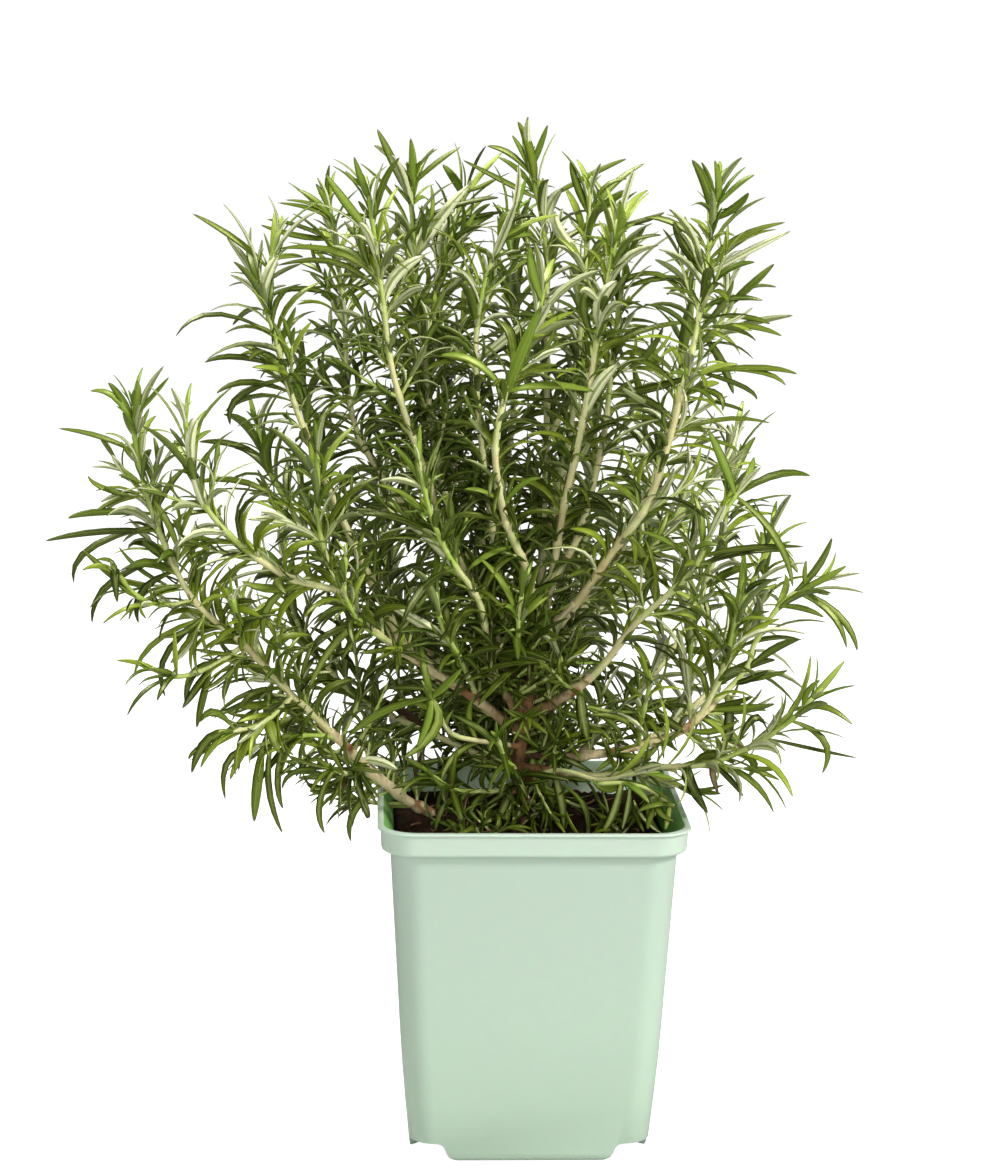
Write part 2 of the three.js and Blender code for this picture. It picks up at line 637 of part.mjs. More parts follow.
const holes = [holeOf(trunkSpine, trunkRadiusAt), holeOf(lowStem.spine, lowStem.radiusAt)];
place('pot', geometryOf(pot()), colours.pot, 0.6);
place('soil', geometryOf(soil(holes)), colours.soil, 0.95);
place('trunk', geometryOf(trunk), colours.bark, 0.85);
place('low_branch', geometryOf(woodOf(lowStem, fitGap)), colours.bark, 0.85);
for (const stem of stems) place(`leafy_${stem.name}`, leafyStem(stem), colours.leaf, 0.6);

export default group;
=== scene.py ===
import math
import bpy
import numpy as np
from mathutils import Matrix, Vector


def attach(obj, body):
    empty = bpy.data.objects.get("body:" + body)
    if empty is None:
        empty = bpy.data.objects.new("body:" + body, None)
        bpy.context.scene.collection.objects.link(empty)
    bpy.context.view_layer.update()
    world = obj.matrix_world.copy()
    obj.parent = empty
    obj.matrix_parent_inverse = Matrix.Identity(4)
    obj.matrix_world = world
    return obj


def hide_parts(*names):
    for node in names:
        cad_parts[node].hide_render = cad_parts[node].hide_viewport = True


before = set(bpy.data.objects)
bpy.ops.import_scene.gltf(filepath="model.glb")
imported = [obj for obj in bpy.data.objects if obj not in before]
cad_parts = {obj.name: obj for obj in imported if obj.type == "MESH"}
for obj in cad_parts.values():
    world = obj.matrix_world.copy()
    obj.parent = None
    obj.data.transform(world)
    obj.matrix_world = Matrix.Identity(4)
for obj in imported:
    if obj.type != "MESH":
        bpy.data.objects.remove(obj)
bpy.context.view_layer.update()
print("frame loaded:", len(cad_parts), "nodes")
bpy.ops.object.select_all(action="DESELECT")

mm = 0.001
white = (1, 1, 1, 1)
scene = bpy.context.scene
scene.view_settings.view_transform = "Standard"


# Shader helpers

def newMaterial(name):
    material = bpy.data.materials.new(name)
    material.use_nodes = True
    return material, material.node_tree, material.node_tree.nodes["Principled BSDF"]


# Links each input that is given a socket, and sets each one that is given a value
def setInputs(tree, node, inputs):
    for key, value in inputs.items():
        if isinstance(value, bpy.types.NodeSocket):
            tree.links.new(value, node.inputs[key])
        else:
            node.inputs[key].default_value = value


def addNode(tree, kind, inputs=None, **settings):
    node = tree.nodes.new(kind)
    for key, value in settings.items():
        setattr(node, key, value)
    setInputs(tree, node, inputs or {})
    return node


def maths(tree, operation, *values):
    return addNode(tree, "ShaderNodeMath", dict(enumerate(values)), operation=operation).outputs[0]


def fade(tree, value, low, high):
    return addNode(tree, "ShaderNodeMapRange", {"Value": value, "From Min": low, "From Max": high},
                   interpolation_type="SMOOTHSTEP").outputs["Result"]


# Fades with the distance from a line along the blade
def nearLine(tree, across, middle, low, high):
    return fade(tree, maths(tree, "ABSOLUTE", maths(tree, "SUBTRACT", across, middle)), low, high)


def ramp(tree, fac, stops, colors):
    node = addNode(tree, "ShaderNodeValToRGB", {"Fac": fac})
    elements = node.color_ramp.elements
    while len(elements) < len(stops):
        elements.new(0.5)
    for element, position, color in zip(elements, stops, colors):
        element.position = position
        element.color = (*color, 1)
    return node.outputs["Color"]


def mixColor(tree, fac, *colors):
    one, two = (color if isinstance(color, bpy.types.NodeSocket) else (*color, 1) for color in colors)
    return addNode(tree, "ShaderNodeMix", {0: fac, 6: one, 7: two}, data_type="RGBA").outputs[2]


def noise(tree, place, scale, detail, roughness):
    return addNode(tree, "ShaderNodeTexNoise", {"Scale": scale, "Detail": detail, "Roughness": roughness,
                                                "Vector": place}).outputs["Fac"]


def bump(tree, height, strength, distance):
    return addNode(tree, "ShaderNodeBump", {"Height": height, "Strength": strength,
                                            "Distance": distance}).outputs["Normal"]


def objectPoint(tree):
    return addNode(tree, "ShaderNodeTexCoord").outputs["Object"]


def bladeMap(tree):
    return addNode(tree, "ShaderNodeUVMap", uv_map="blade").outputs["UV"]


def axesOf(tree, place):
    return addNode(tree, "ShaderNodeSeparateXYZ", {"Vector": place}).outputs


def channels(tree, layer):
    color = addNode(tree, "ShaderNodeVertexColor", layer_name=layer).outputs["Color"]
    return addNode(tree, "ShaderNodeSeparateColor", {"Color": color}).outputs


# Camera and light

cameraSetup = {"place": (-0.0579, -1.0435, 0.3901), "angles": (79.8904, -0.7466, -2.4109), "lens": 90.21,
               "nearest": 0.01}
lampSetup = [
    # name, place, aim, size, watts, colour
    ("keyLamp", (1.2, -1.0, 1.3), (0.0, 0.0, 0.2), 0.4, 30.0, (1.0, 0.99, 0.97)),
    ("frontLamp", (-0.3, -1.7, 0.8), (0.0, 0.0, 0.12), 0.7, 11.5, (1.0, 1.0, 0.99)),
    ("topLamp", (-0.6, 0.3, 1.4), (0.0, 0.0, 0.25), 0.5, 20.0, (1.0, 1.0, 0.97)),
    ("sideLamp", (1.6, -0.3, 0.3), (0.05, 0.0, 0.08), 0.5, 3.0, (1.0, 1.0, 0.97)),
]
roomSetup = {
    "floorSize": 60.0, "floorColor": (0.5, 0.5, 0.5, 1), "floorRoughness": 0.8, "floorGlow": 1.0,
    "skyLight": 0.06, "skySeen": 1.05,
}


def addCamera(setup):
    bpy.ops.object.camera_add(location=setup["place"], rotation=[math.radians(a) for a in setup["angles"]])
    camera = bpy.context.object
    camera.name = "photoCamera"
    camera.data.lens = setup["lens"]
    camera.data.clip_start = setup["nearest"]
    scene.camera = camera


def addLamps(lamps):
    for name, place, aim, size, watts, color in lamps:
        lamp = bpy.data.objects.new(name, bpy.data.lights.new(name, "AREA"))
        scene.collection.objects.link(lamp)
        lamp.data.size = size
        lamp.data.energy = watts
        lamp.data.color = color
        lamp.location = place
        lamp.rotation_euler = (Vector(aim) - Vector(place)).to_track_quat("-Z", "Y").to_euler()


# A pale floor and sky that look white straight on and give the plant little light
def addRoom(setup):
    bpy.ops.mesh.primitive_plane_add(size=setup["floorSize"])
    floor = bpy.context.object
    floor.name = "floor"
    material, tree, shader = newMaterial("paleFloor")
    seen = addNode(tree, "ShaderNodeLightPath").outputs["Is Camera Ray"]
    setInputs(tree, shader, {
        "Base Color": setup["floorColor"], "Roughness": setup["floorRoughness"], "Emission Color": white,
        "Emission Strength": maths(tree, "MULTIPLY", seen, setup["floorGlow"]),
    })
    floor.data.materials.append(material)
    world = bpy.data.worlds.new("studio")
    world.use_nodes = True
    tree = world.node_tree
    light = tree.nodes["Background"]
    setInputs(tree, light, {"Color": white, "Strength": setup["skyLight"]})
    sky = addNode(tree, "ShaderNodeBackground", {"Color": white, "Strength": setup["skySeen"]})
    seen = addNode(tree, "ShaderNodeLightPath").outputs["Is Camera Ray"]
    both = addNode(tree, "ShaderNodeMixShader", {0: seen, 1: light.outputs[0], 2: sky.outputs[0]})
    setInputs(tree, tree.nodes["World Output"], {"Surface": both.outputs[0]})
    scene.world = world


addCamera(cameraSetup)
addLamps(lampSetup)
addRoom(roomSetup)
print("camera, lamps and floor are set")


# Materials. Noises are scale, detail and roughness; edges say from where to where a tone fades

leafLook = {
    "old": (0.008, 0.022, 0.001), "oldLight": (0.300, 0.400, 0.018), "young": (0.105, 0.235, 0.006),
    "youngLight": (0.600, 0.740, 0.130), "groove": (0.330, 0.420, 0.080), "under": (0.130, 0.185, 0.028),
    "underPale": (0.930, 0.950, 0.600), "underRib": (0.170, 0.250, 0.045), "rim": (0.035, 0.075, 0.004),
    "dead": (0.095, 0.050, 0.030), "tip": (0.060, 0.055, 0.020),
    "grain": (900.0, 3.0, 0.6), "grainShare": 0.15, "contrast": 1.55, "topMiddle": 0.25, "underMiddle": 0.75,
    "grooveEdge": (0.04, 0.0), "grooveShare": 0.35, "baseEdge": (0.22, 0.0), "baseShare": 0.7,
    "ribEdge": (0.05, 0.015), "ribShare": 0.85, "paleEdge": (0.38, 0.85), "rimEdge": (0.14, 0.19),
    "underEdge": (0.499, 0.501), "tipEdge": (0.9, 1.0), "tipShare": 0.75, "bump": (0.2, 0.0003),
    "roughness": 0.36, "specular": 0.7, "specularTint": (0.97, 1.0, 0.42, 1),
}


def makeLeafMaterial(look):
    material, tree, shader = newMaterial("rosemaryLeaf")
    young, vary, dead = channels(tree, "tone")
    across, along = axesOf(tree, bladeMap(tree))[:2]
    grain = noise(tree, objectPoint(tree), *look["grain"])
    # the young and vary tones are random tones that also carry the painted shade in the middle of the bush
    lightness = maths(tree, "ADD", maths(tree, "MULTIPLY", vary, 1 - look["grainShare"]),
                      maths(tree, "MULTIPLY", grain, look["grainShare"]))
    lightness = maths(tree, "POWER", lightness, look["contrast"])
    top = mixColor(tree, young, mixColor(tree, lightness, look["old"], look["oldLight"]),
                   mixColor(tree, lightness, look["young"], look["youngLight"]))
    # the groove along the middle and the base of the blade are paler
    groove = maths(tree, "MULTIPLY", nearLine(tree, across, look["topMiddle"], *look["grooveEdge"]),
                   look["grooveShare"])
    base = maths(tree, "MULTIPLY", fade(tree, along, *look["baseEdge"]), look["baseShare"])
    top = mixColor(tree, maths(tree, "MAXIMUM", groove, base), top, look["groove"])
    # underneath: two felted pale bands, a greener rib between them, and the dark rolled margins
    under = mixColor(tree, fade(tree, vary, *look["paleEdge"]), look["under"], look["underPale"])
    rib = nearLine(tree, across, look["underMiddle"], *look["ribEdge"])
    under = mixColor(tree, maths(tree, "MULTIPLY", rib, look["ribShare"]), under, look["underRib"])
    margin = nearLine(tree, across, look["underMiddle"], *look["rimEdge"])
    under = mixColor(tree, margin, under, look["rim"])
    color = mixColor(tree, fade(tree, across, *look["underEdge"]), top, under)
    tip = maths(tree, "MULTIPLY", fade(tree, along, *look["tipEdge"]), look["tipShare"])
    color = mixColor(tree, dead, mixColor(tree, tip, color, look["tip"]), look["dead"])
    setInputs(tree, shader, {
        "Base Color": color, "Roughness": look["roughness"], "Specular IOR Level": look["specular"],
        "Specular Tint": look["specularTint"], "Normal": bump(tree, grain, *look["bump"]),
    })
    return material


stemLook = {
    "green": (0.420, 0.580, 0.090), "cream": (0.830, 0.820, 0.400), "tan": (0.680, 0.540, 0.250),
    "bark": (0.260, 0.130, 0.062), "stops": (0.0, 0.32, 0.62, 0.9), "crack": (0.150, 0.080, 0.040),
    "stretch": (6.0, 120.0, 1.0), "streak": (1.6, 5.0, 0.65), "spot": (75.0, 4.0, 0.6), "spotShare": 0.9,
    "crackEdge": (0.52, 0.7), "crackShare": 0.9, "bump": (0.5, 0.0006), "roughness": 0.62,
}


def makeStemMaterial(look):
    material, tree, shader = newMaterial("rosemaryStem")
    woody = channels(tree, "tone")[2]
    stretched = addNode(tree, "ShaderNodeMapping", {"Vector": bladeMap(tree), "Scale": look["stretch"]})
    streak = noise(tree, stretched.outputs["Vector"], *look["streak"])
    spot = maths(tree, "SUBTRACT", noise(tree, objectPoint(tree), *look["spot"]), 0.5)
    age = maths(tree, "ADD", woody, maths(tree, "MULTIPLY", spot, look["spotShare"]))
    color = ramp(tree, age, look["stops"], (look["green"], look["cream"], look["tan"], look["bark"]))
    dark = maths(tree, "MULTIPLY", fade(tree, streak, *look["crackEdge"]),
                 maths(tree, "MULTIPLY", woody, look["crackShare"]))
    setInputs(tree, shader, {
        "Base Color": mixColor(tree, dark, color, look["crack"]), "Roughness": look["roughness"],
        "Normal": bump(tree, streak, *look["bump"]),
    })
    return material


potLook = {
    "mint": (0.595, 0.745, 0.620), "mintLow": (0.575, 0.742, 0.580), "paintedShadeLowEdge": (0.0, 0.11),
    "band": (0.665, 0.805, 0.675), "paintedBandLightEdge": (0.1158, 0.1166), "inside": (0.240, 0.600, 0.110),
    "rear": (0.830, 0.960, 0.760), "cloud": (22.0, 3.0, 0.5), "cloudShare": 0.14, "through": 0.4,
    "throughRadius": (0.0010, 0.0022, 0.0011), "grain": (1500.0, 2.0, 0.5), "bump": (0.12, 0.0002),
    "roughness": 0.42,
}


def makePotMaterial(look):
    material, tree, shader = newMaterial("mintPlastic")
    point = objectPoint(tree)
    height = axesOf(tree, point)[2]
    # the body is painted a little darker and yellower towards the bottom, a painted shade; the clouds below
    # are a random tone
    color = mixColor(tree, fade(tree, height, *look["paintedShadeLowEdge"]), look["mintLow"], look["mint"])
    cloud = maths(tree, "MULTIPLY", noise(tree, point, *look["cloud"]), look["cloudShare"])
    color = mixColor(tree, cloud, color, look["mintLow"])
    # the band under the lip is painted lighter, a painted light against the shade that the leaves cast on it
    color = mixColor(tree, fade(tree, height, *look["paintedBandLightEdge"]), color, look["band"])
    # painted light inside the pot: the side walls get a vivid green that stands in for light coming through
    # the lit wall and bouncing off the leaves, and the rear wall a lighter mint that makes up for the shade
    # of the leaves
    inner = channels(tree, "inner")
    color = mixColor(tree, inner[0], color, look["inside"])  # the side walls, where they face each other
    color = mixColor(tree, inner[1], color, look["rear"])  # the inner face of the rear wall
    setInputs(tree, shader, {
        "Base Color": color, "Roughness": look["roughness"], "Subsurface Weight": look["through"],
        "Subsurface Scale": 1.0, "Subsurface Radius": look["throughRadius"],
        "Normal": bump(tree, noise(tree, point, *look["grain"]), *look["bump"]),
    })
    return material


soilLook = {
    "dark": (0.007, 0.005, 0.003), "brown": (0.050, 0.022, 0.011), "fibre": (0.12, 0.06, 0.03),
    "stops": (0.35, 0.62, 0.8), "crumb": (420.0, 6.0, 0.7), "patch": (90.0, 4.0, 0.6), "patchShare": 0.4,
    "roughness": 0.95, "specular": 0.2, "bump": (0.9, 0.0015),
}


def makeSoilMaterial(look):
    material, tree, shader = newMaterial("pottingSoil")
    point = objectPoint(tree)
    crumb = noise(tree, point, *look["crumb"])
    patch = maths(tree, "MULTIPLY", noise(tree, point, *look["patch"]), look["patchShare"])
    mixed = maths(tree, "MULTIPLY_ADD", crumb, 1 - look["patchShare"], patch)
    setInputs(tree, shader, {
        "Base Color": ramp(tree, mixed, look["stops"], (look["dark"], look["brown"], look["fibre"])),
        "Roughness": look["roughness"], "Specular IOR Level": look["specular"],
        "Normal": bump(tree, crumb, *look["bump"]),
    })
    return material


barkLook = {
    "brown": (0.300, 0.148, 0.056), "dark": (0.110, 0.045, 0.022), "cream": (0.860, 0.730, 0.410),
    "rust": (0.400, 0.190, 0.085), "crack": (0.050, 0.025, 0.016), "stretch": (1.0, 1.0, 0.35),
    "fibre": (700.0, 6.0, 0.7), "patch": (70.0, 3.0, 0.6), "trunkEdge": (0.35, 0.65),
    "branchEdge": (0.56, 0.66), "outerEdge": (0.007, 0.026), "highEdge": (0.165, 0.190),
    "soilEdge": (0.110, 0.118), "crackEdge": (0.52, 0.64), "crackShare": 0.75, "youngShare": 0.5,
    "bump": (0.7, 0.0008), "roughness": 0.8,
}


def makeBarkMaterial(look):
    material, tree, shader = newMaterial("woodyBark")
    point = objectPoint(tree)
    height = axesOf(tree, point)[2]
    stretched = addNode(tree, "ShaderNodeMapping", {"Vector": point, "Scale": look["stretch"]})
    fibre = noise(tree, stretched.outputs["Vector"], *look["fibre"])
    patch = noise(tree, point, *look["patch"])
    flat = addNode(tree, "ShaderNodeVectorMath", {0: point, 1: (1.0, 1.0, 0.0)}, operation="MULTIPLY")
    reach = addNode(tree, "ShaderNodeVectorMath", {0: flat.outputs["Vector"]}, operation="LENGTH")
    trunkWood = mixColor(tree, fade(tree, patch, *look["trunkEdge"]), look["brown"], look["dark"])
    branchWood = mixColor(tree, fade(tree, patch, *look["branchEdge"]), look["cream"], look["rust"])
    # old wood stands near the axis and at the soil, paler wood further out
    outer = maths(tree, "MAXIMUM", fade(tree, reach.outputs["Value"], *look["outerEdge"]),
                  fade(tree, height, *look["highEdge"]))
    young = maths(tree, "MULTIPLY", outer, fade(tree, height, *look["soilEdge"]))
    depth = maths(tree, "SUBTRACT", look["crackShare"], maths(tree, "MULTIPLY", young, look["youngShare"]))
    cracks = maths(tree, "MULTIPLY", fade(tree, fibre, *look["crackEdge"]), depth)
    setInputs(tree, shader, {
        "Base Color": mixColor(tree, cracks, mixColor(tree, young, trunkWood, branchWood), look["crack"]),
        "Roughness": look["roughness"], "Normal": bump(tree, fibre, *look["bump"]),
    })
    return material


leafMaterial = makeLeafMaterial(leafLook)
barkMaterial = makeBarkMaterial(barkLook)
stemMaterial = makeStemMaterial(stemLook)
potMaterial = makePotMaterial(potLook)
soilMaterial = makeSoilMaterial(soilLook)
print("materials are made")


# Modelling helpers

def onlyThis(piece):
    bpy.ops.object.select_all(action="DESELECT")
    piece.select_set(True)
    bpy.context.view_layer.objects.active = piece


def editAll(piece):
    onlyThis(piece)
    bpy.ops.object.mode_set(mode="EDIT")
    bpy.ops.mesh.select_all(action="SELECT")


def extrudeBy(x, y, z):
    bpy.ops.mesh.extrude_region_move(TRANSFORM_OT_translate={"value": (x, y, z)})


# Each level is a width and a height, and its outline is the one below it, resized
def extrudeLevels(levels, unit=1.0):
    for (widthWas, heightWas), (width, height) in zip(levels, levels[1:]):
        extrudeBy(0, 0, (height - heightWas) * unit)
        share = width / widthWas
        bpy.ops.transform.resize(value=(share, share, 1), center_override=(0, 0, 0))


def faceOutwards():
    bpy.ops.mesh.select_all(action="SELECT")
    bpy.ops.mesh.normals_make_consistent(inside=False)


def joinTo(piece, others):
    onlyThis(piece)
    for other in others:
        other.select_set(True)
    bpy.ops.object.join()
    return piece


def applyAll(piece):
    onlyThis(piece)
    for modifier in list(piece.modifiers):
        bpy.ops.object.modifier_apply(modifier=modifier.name)


def cut(piece, cutter):
    modifier = piece.modifiers.new("cut", "BOOLEAN")
    modifier.operation = "DIFFERENCE"
    modifier.object = cutter
    modifier.solver = "EXACT"
    applyAll(piece)
    bpy.data.objects.remove(cutter)


def roughen(piece, textureName, scale, strength, **settings):
    texture = bpy.data.textures.new(textureName, "CLOUDS")
    texture.noise_scale = scale
    rough = piece.modifiers.new("rough", "DISPLACE")
    rough.texture = texture
    rough.texture_coords = "LOCAL"
    rough.strength = strength
    for key, value in settings.items():
        setattr(rough, key, value)


def finishPiece(piece, slot, *nodes):
    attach(piece, "root")
    if nodes:
        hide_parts(*nodes)


# Pot. Widths are halves, from the middle to a side; heights count from the table; all in mm

potSetup = {
    "height": 125.0, "cornerRadius": 11.6, "cornerSteps": 12, "foot": 42.9, "footRound": 1.6,
    "kneeHalf": 46.3, "kneeHeight": 36.0, "kneeSoft": 14.0, "kneeEase": 0.12, "bodyTop": 51.0,
    "bandHeight": 9.0, "bandRound": 1.5, "bandBottom": 54.2, "bandTop": 54.5, "lip": 55.5, "lipHeight": 1.0,
    "lipEdge": 0.3, "lipRound": 0.5, "rimWidth": 2.2, "wall": 1.3, "innerRound": 2.0, "innerHeight": 50.0,
    "channelWidth": 20.0, "channelTop": 17.0, "channelHeight": 7.0, "channelStart": 18.0, "channelEnd": 80.0,
    "channelRound": 2.0, "channelDepth": 4.0, "footFlare": 3.2, "flareDrop": 0.3, "drainRadius": 3.0,
    "drainSides": 20, "drainLength": 60.0, "drainDistance": 26.0, "softEdge": 0.35, "softAngle": 38.0,
    "smoothAngle": 40.0, "clearTop": 126.0, "clearInside": 47.0, "clearOutside": 57.0,
}
cornerAngles = [math.radians(45 + 90 * corner) for corner in range(4)]


# A solid with the outline of a square with round corners, from a list of half widths and heights
def squareStack(name, levels, setup):
    bpy.ops.mesh.primitive_plane_add(size=2 * levels[0][0] * mm, location=(0, 0, levels[0][1] * mm))
    piece = bpy.context.object
    piece.name = name
    onlyThis(piece)
    bpy.ops.object.transform_apply(location=True)
    editAll(piece)
    radius = setup["cornerRadius"] * mm * levels[0][0] / setup["bodyTop"]
    bpy.ops.mesh.bevel(offset=radius, offset_type="OFFSET", segments=setup["cornerSteps"], affect="VERTICES")
    extrudeLevels(levels, mm)
    faceOutwards()
    bpy.ops.object.mode_set(mode="OBJECT")
    return piece


# Half the width of the body at a height
def bodyHalf(height, setup):
    heights = (0.0, setup["kneeHeight"], setup["height"] - setup["bandHeight"])
    return float(np.interp(height, heights, (setup["foot"], setup["kneeHalf"], setup["bodyTop"])))


# A point on the curve that leaves one point for the middle one and arrives at the last
def bow(start, middle, end, t):
    return start * (1 - t) ** 2 + middle * 2 * t * (1 - t) + end * t ** 2


# Points of a round corner between two straight lines that meet at a point
def roundCorner(before, point, after, radius, steps=4):
    before, point, after = (Vector(p) for p in (before, point, after))
    start = point + (before - point).normalized() * radius
    end = point + (after - point).normalized() * radius
    return [bow(start, point, end, k / steps) for k in range(steps + 1)]


# What is cut out under a corner: a bar with its section drawn from the middle of its top outwards
def channelBar(angle, grow, setup):
    low = setup["channelWidth"] / 2 + grow
    high = setup["channelTop"] / 2 + grow
    roof = setup["channelHeight"] + grow
    outer = low + 2 * setup["footFlare"]
    start = setup["channelStart"] - grow
    half = roundCorner((0, roof), (high, roof), (low, 0), setup["channelRound"])
    half += roundCorner((high, roof), (low, 0), (outer, -setup["flareDrop"]), setup["footFlare"])
    half += [Vector((outer, -setup["flareDrop"])), Vector((outer, -setup["channelDepth"]))]
    section = [(p.x, p.y) for p in half] + [(-p.x, p.y) for p in reversed(half)]
    bpy.ops.mesh.primitive_circle_add(vertices=len(section), fill_type="NGON")
    bar = bpy.context.object
    for vertex, (x, z) in zip(bar.data.vertices, section):
        vertex.co = Vector((x, start, z)) * mm
    editAll(bar)
    extrudeBy(0, (setup["channelEnd"] - start) * mm, 0)
    faceOutwards()
    bpy.ops.object.mode_set(mode="OBJECT")
    bar.rotation_euler.z = angle
    bpy.ops.object.transform_apply(rotation=True)
    return bar


# Marks the side walls and the rear wall inside the pot, softly round the corners, for painted light: a green
# glow on the side walls and a lighter rear wall
def markPaintedWallLight(pot, setup):
    mesh = pot.data
    inner = mesh.color_attributes.new("inner", "FLOAT_COLOR", "CORNER")
    for face in mesh.polygons:
        above = float(face.center.z > setup["innerHeight"] * mm)
        inward = max(0.0, -face.normal.x * math.copysign(above, face.center.x))
        forward = max(0.0, -face.normal.y * above) if face.center.y > 0 else 0.0
        for corner in face.loop_indices:
            inner.data[corner].color = (inward, forward, 0.0, 1.0)


def makePot(setup):
    top = setup["height"]
    bandFoot = top - setup["bandHeight"]
    lipFoot = top - setup["lipHeight"]
    foot, soft, band, lip = setup["foot"], setup["footRound"], setup["bandBottom"], setup["lip"]
    knee, ease, bend = setup["kneeHeight"], setup["kneeSoft"], setup["bandRound"]
    edge, lipRound = setup["lipEdge"], setup["lipRound"]
    pot = squareStack("squarePot", [
        (foot - soft, 0), (foot - soft * 0.3, soft * 0.3), (bodyHalf(soft, setup), soft),
        (bodyHalf(2 * soft, setup), 2 * soft), (bodyHalf(knee - ease, setup), knee - ease),
        (setup["kneeHalf"] - setup["kneeEase"], knee), (bodyHalf(knee + ease, setup), knee + ease),
        (setup["bodyTop"], bandFoot), (band - bend, bandFoot), (band - bend * 0.5, bandFoot + bend * 0.13),
        (band - bend * 0.13, bandFoot + bend * 0.5), (band, bandFoot + bend), (setup["bandTop"], lipFoot),
        (lip - edge, lipFoot), (lip, lipFoot + edge), (lip, top - lipRound),
        (lip - lipRound * 0.3, top - lipRound * 0.3), (lip - lipRound, top),
    ], setup)
    wall, innerRound = setup["wall"], setup["innerRound"]
    rim = lip - setup["rimWidth"]
    room = squareStack("potRoom", [
        (bodyHalf(wall, setup) - wall - innerRound, wall),
        (bodyHalf(wall + innerRound, setup) - wall, wall + innerRound), (setup["kneeHalf"] - wall, knee),
        (setup["bodyTop"] - wall, bandFoot), (rim, top), (rim, top + 1),
    ], setup)
    for angle in cornerAngles:
        cut(pot, channelBar(angle, 0.0, setup))
        cut(room, channelBar(angle, wall, setup))
    cut(pot, room)
    for angle in cornerAngles:
        reach = setup["drainDistance"] * mm
        bpy.ops.mesh.primitive_cylinder_add(vertices=setup["drainSides"], radius=setup["drainRadius"] * mm,
                                            depth=setup["drainLength"] * mm,
                                            location=(reach * math.cos(angle), reach * math.sin(angle), 0))
        cut(pot, bpy.context.object)
    bevel = pot.modifiers.new("softEdges", "BEVEL")
    bevel.width = setup["softEdge"] * mm
    bevel.segments = 2
    bevel.limit_method = "ANGLE"
    bevel.angle_limit = math.radians(setup["softAngle"])
    applyAll(pot)
    markPaintedWallLight(pot, setup)
    onlyThis(pot)
    bpy.ops.object.shade_smooth_by_angle(angle=math.radians(setup["smoothAngle"]))
    pot.data.materials.append(potMaterial)
    finishPiece(pot, "pot", "pot")


makePot(potSetup)
print("pot is made")


# Stems and leaves

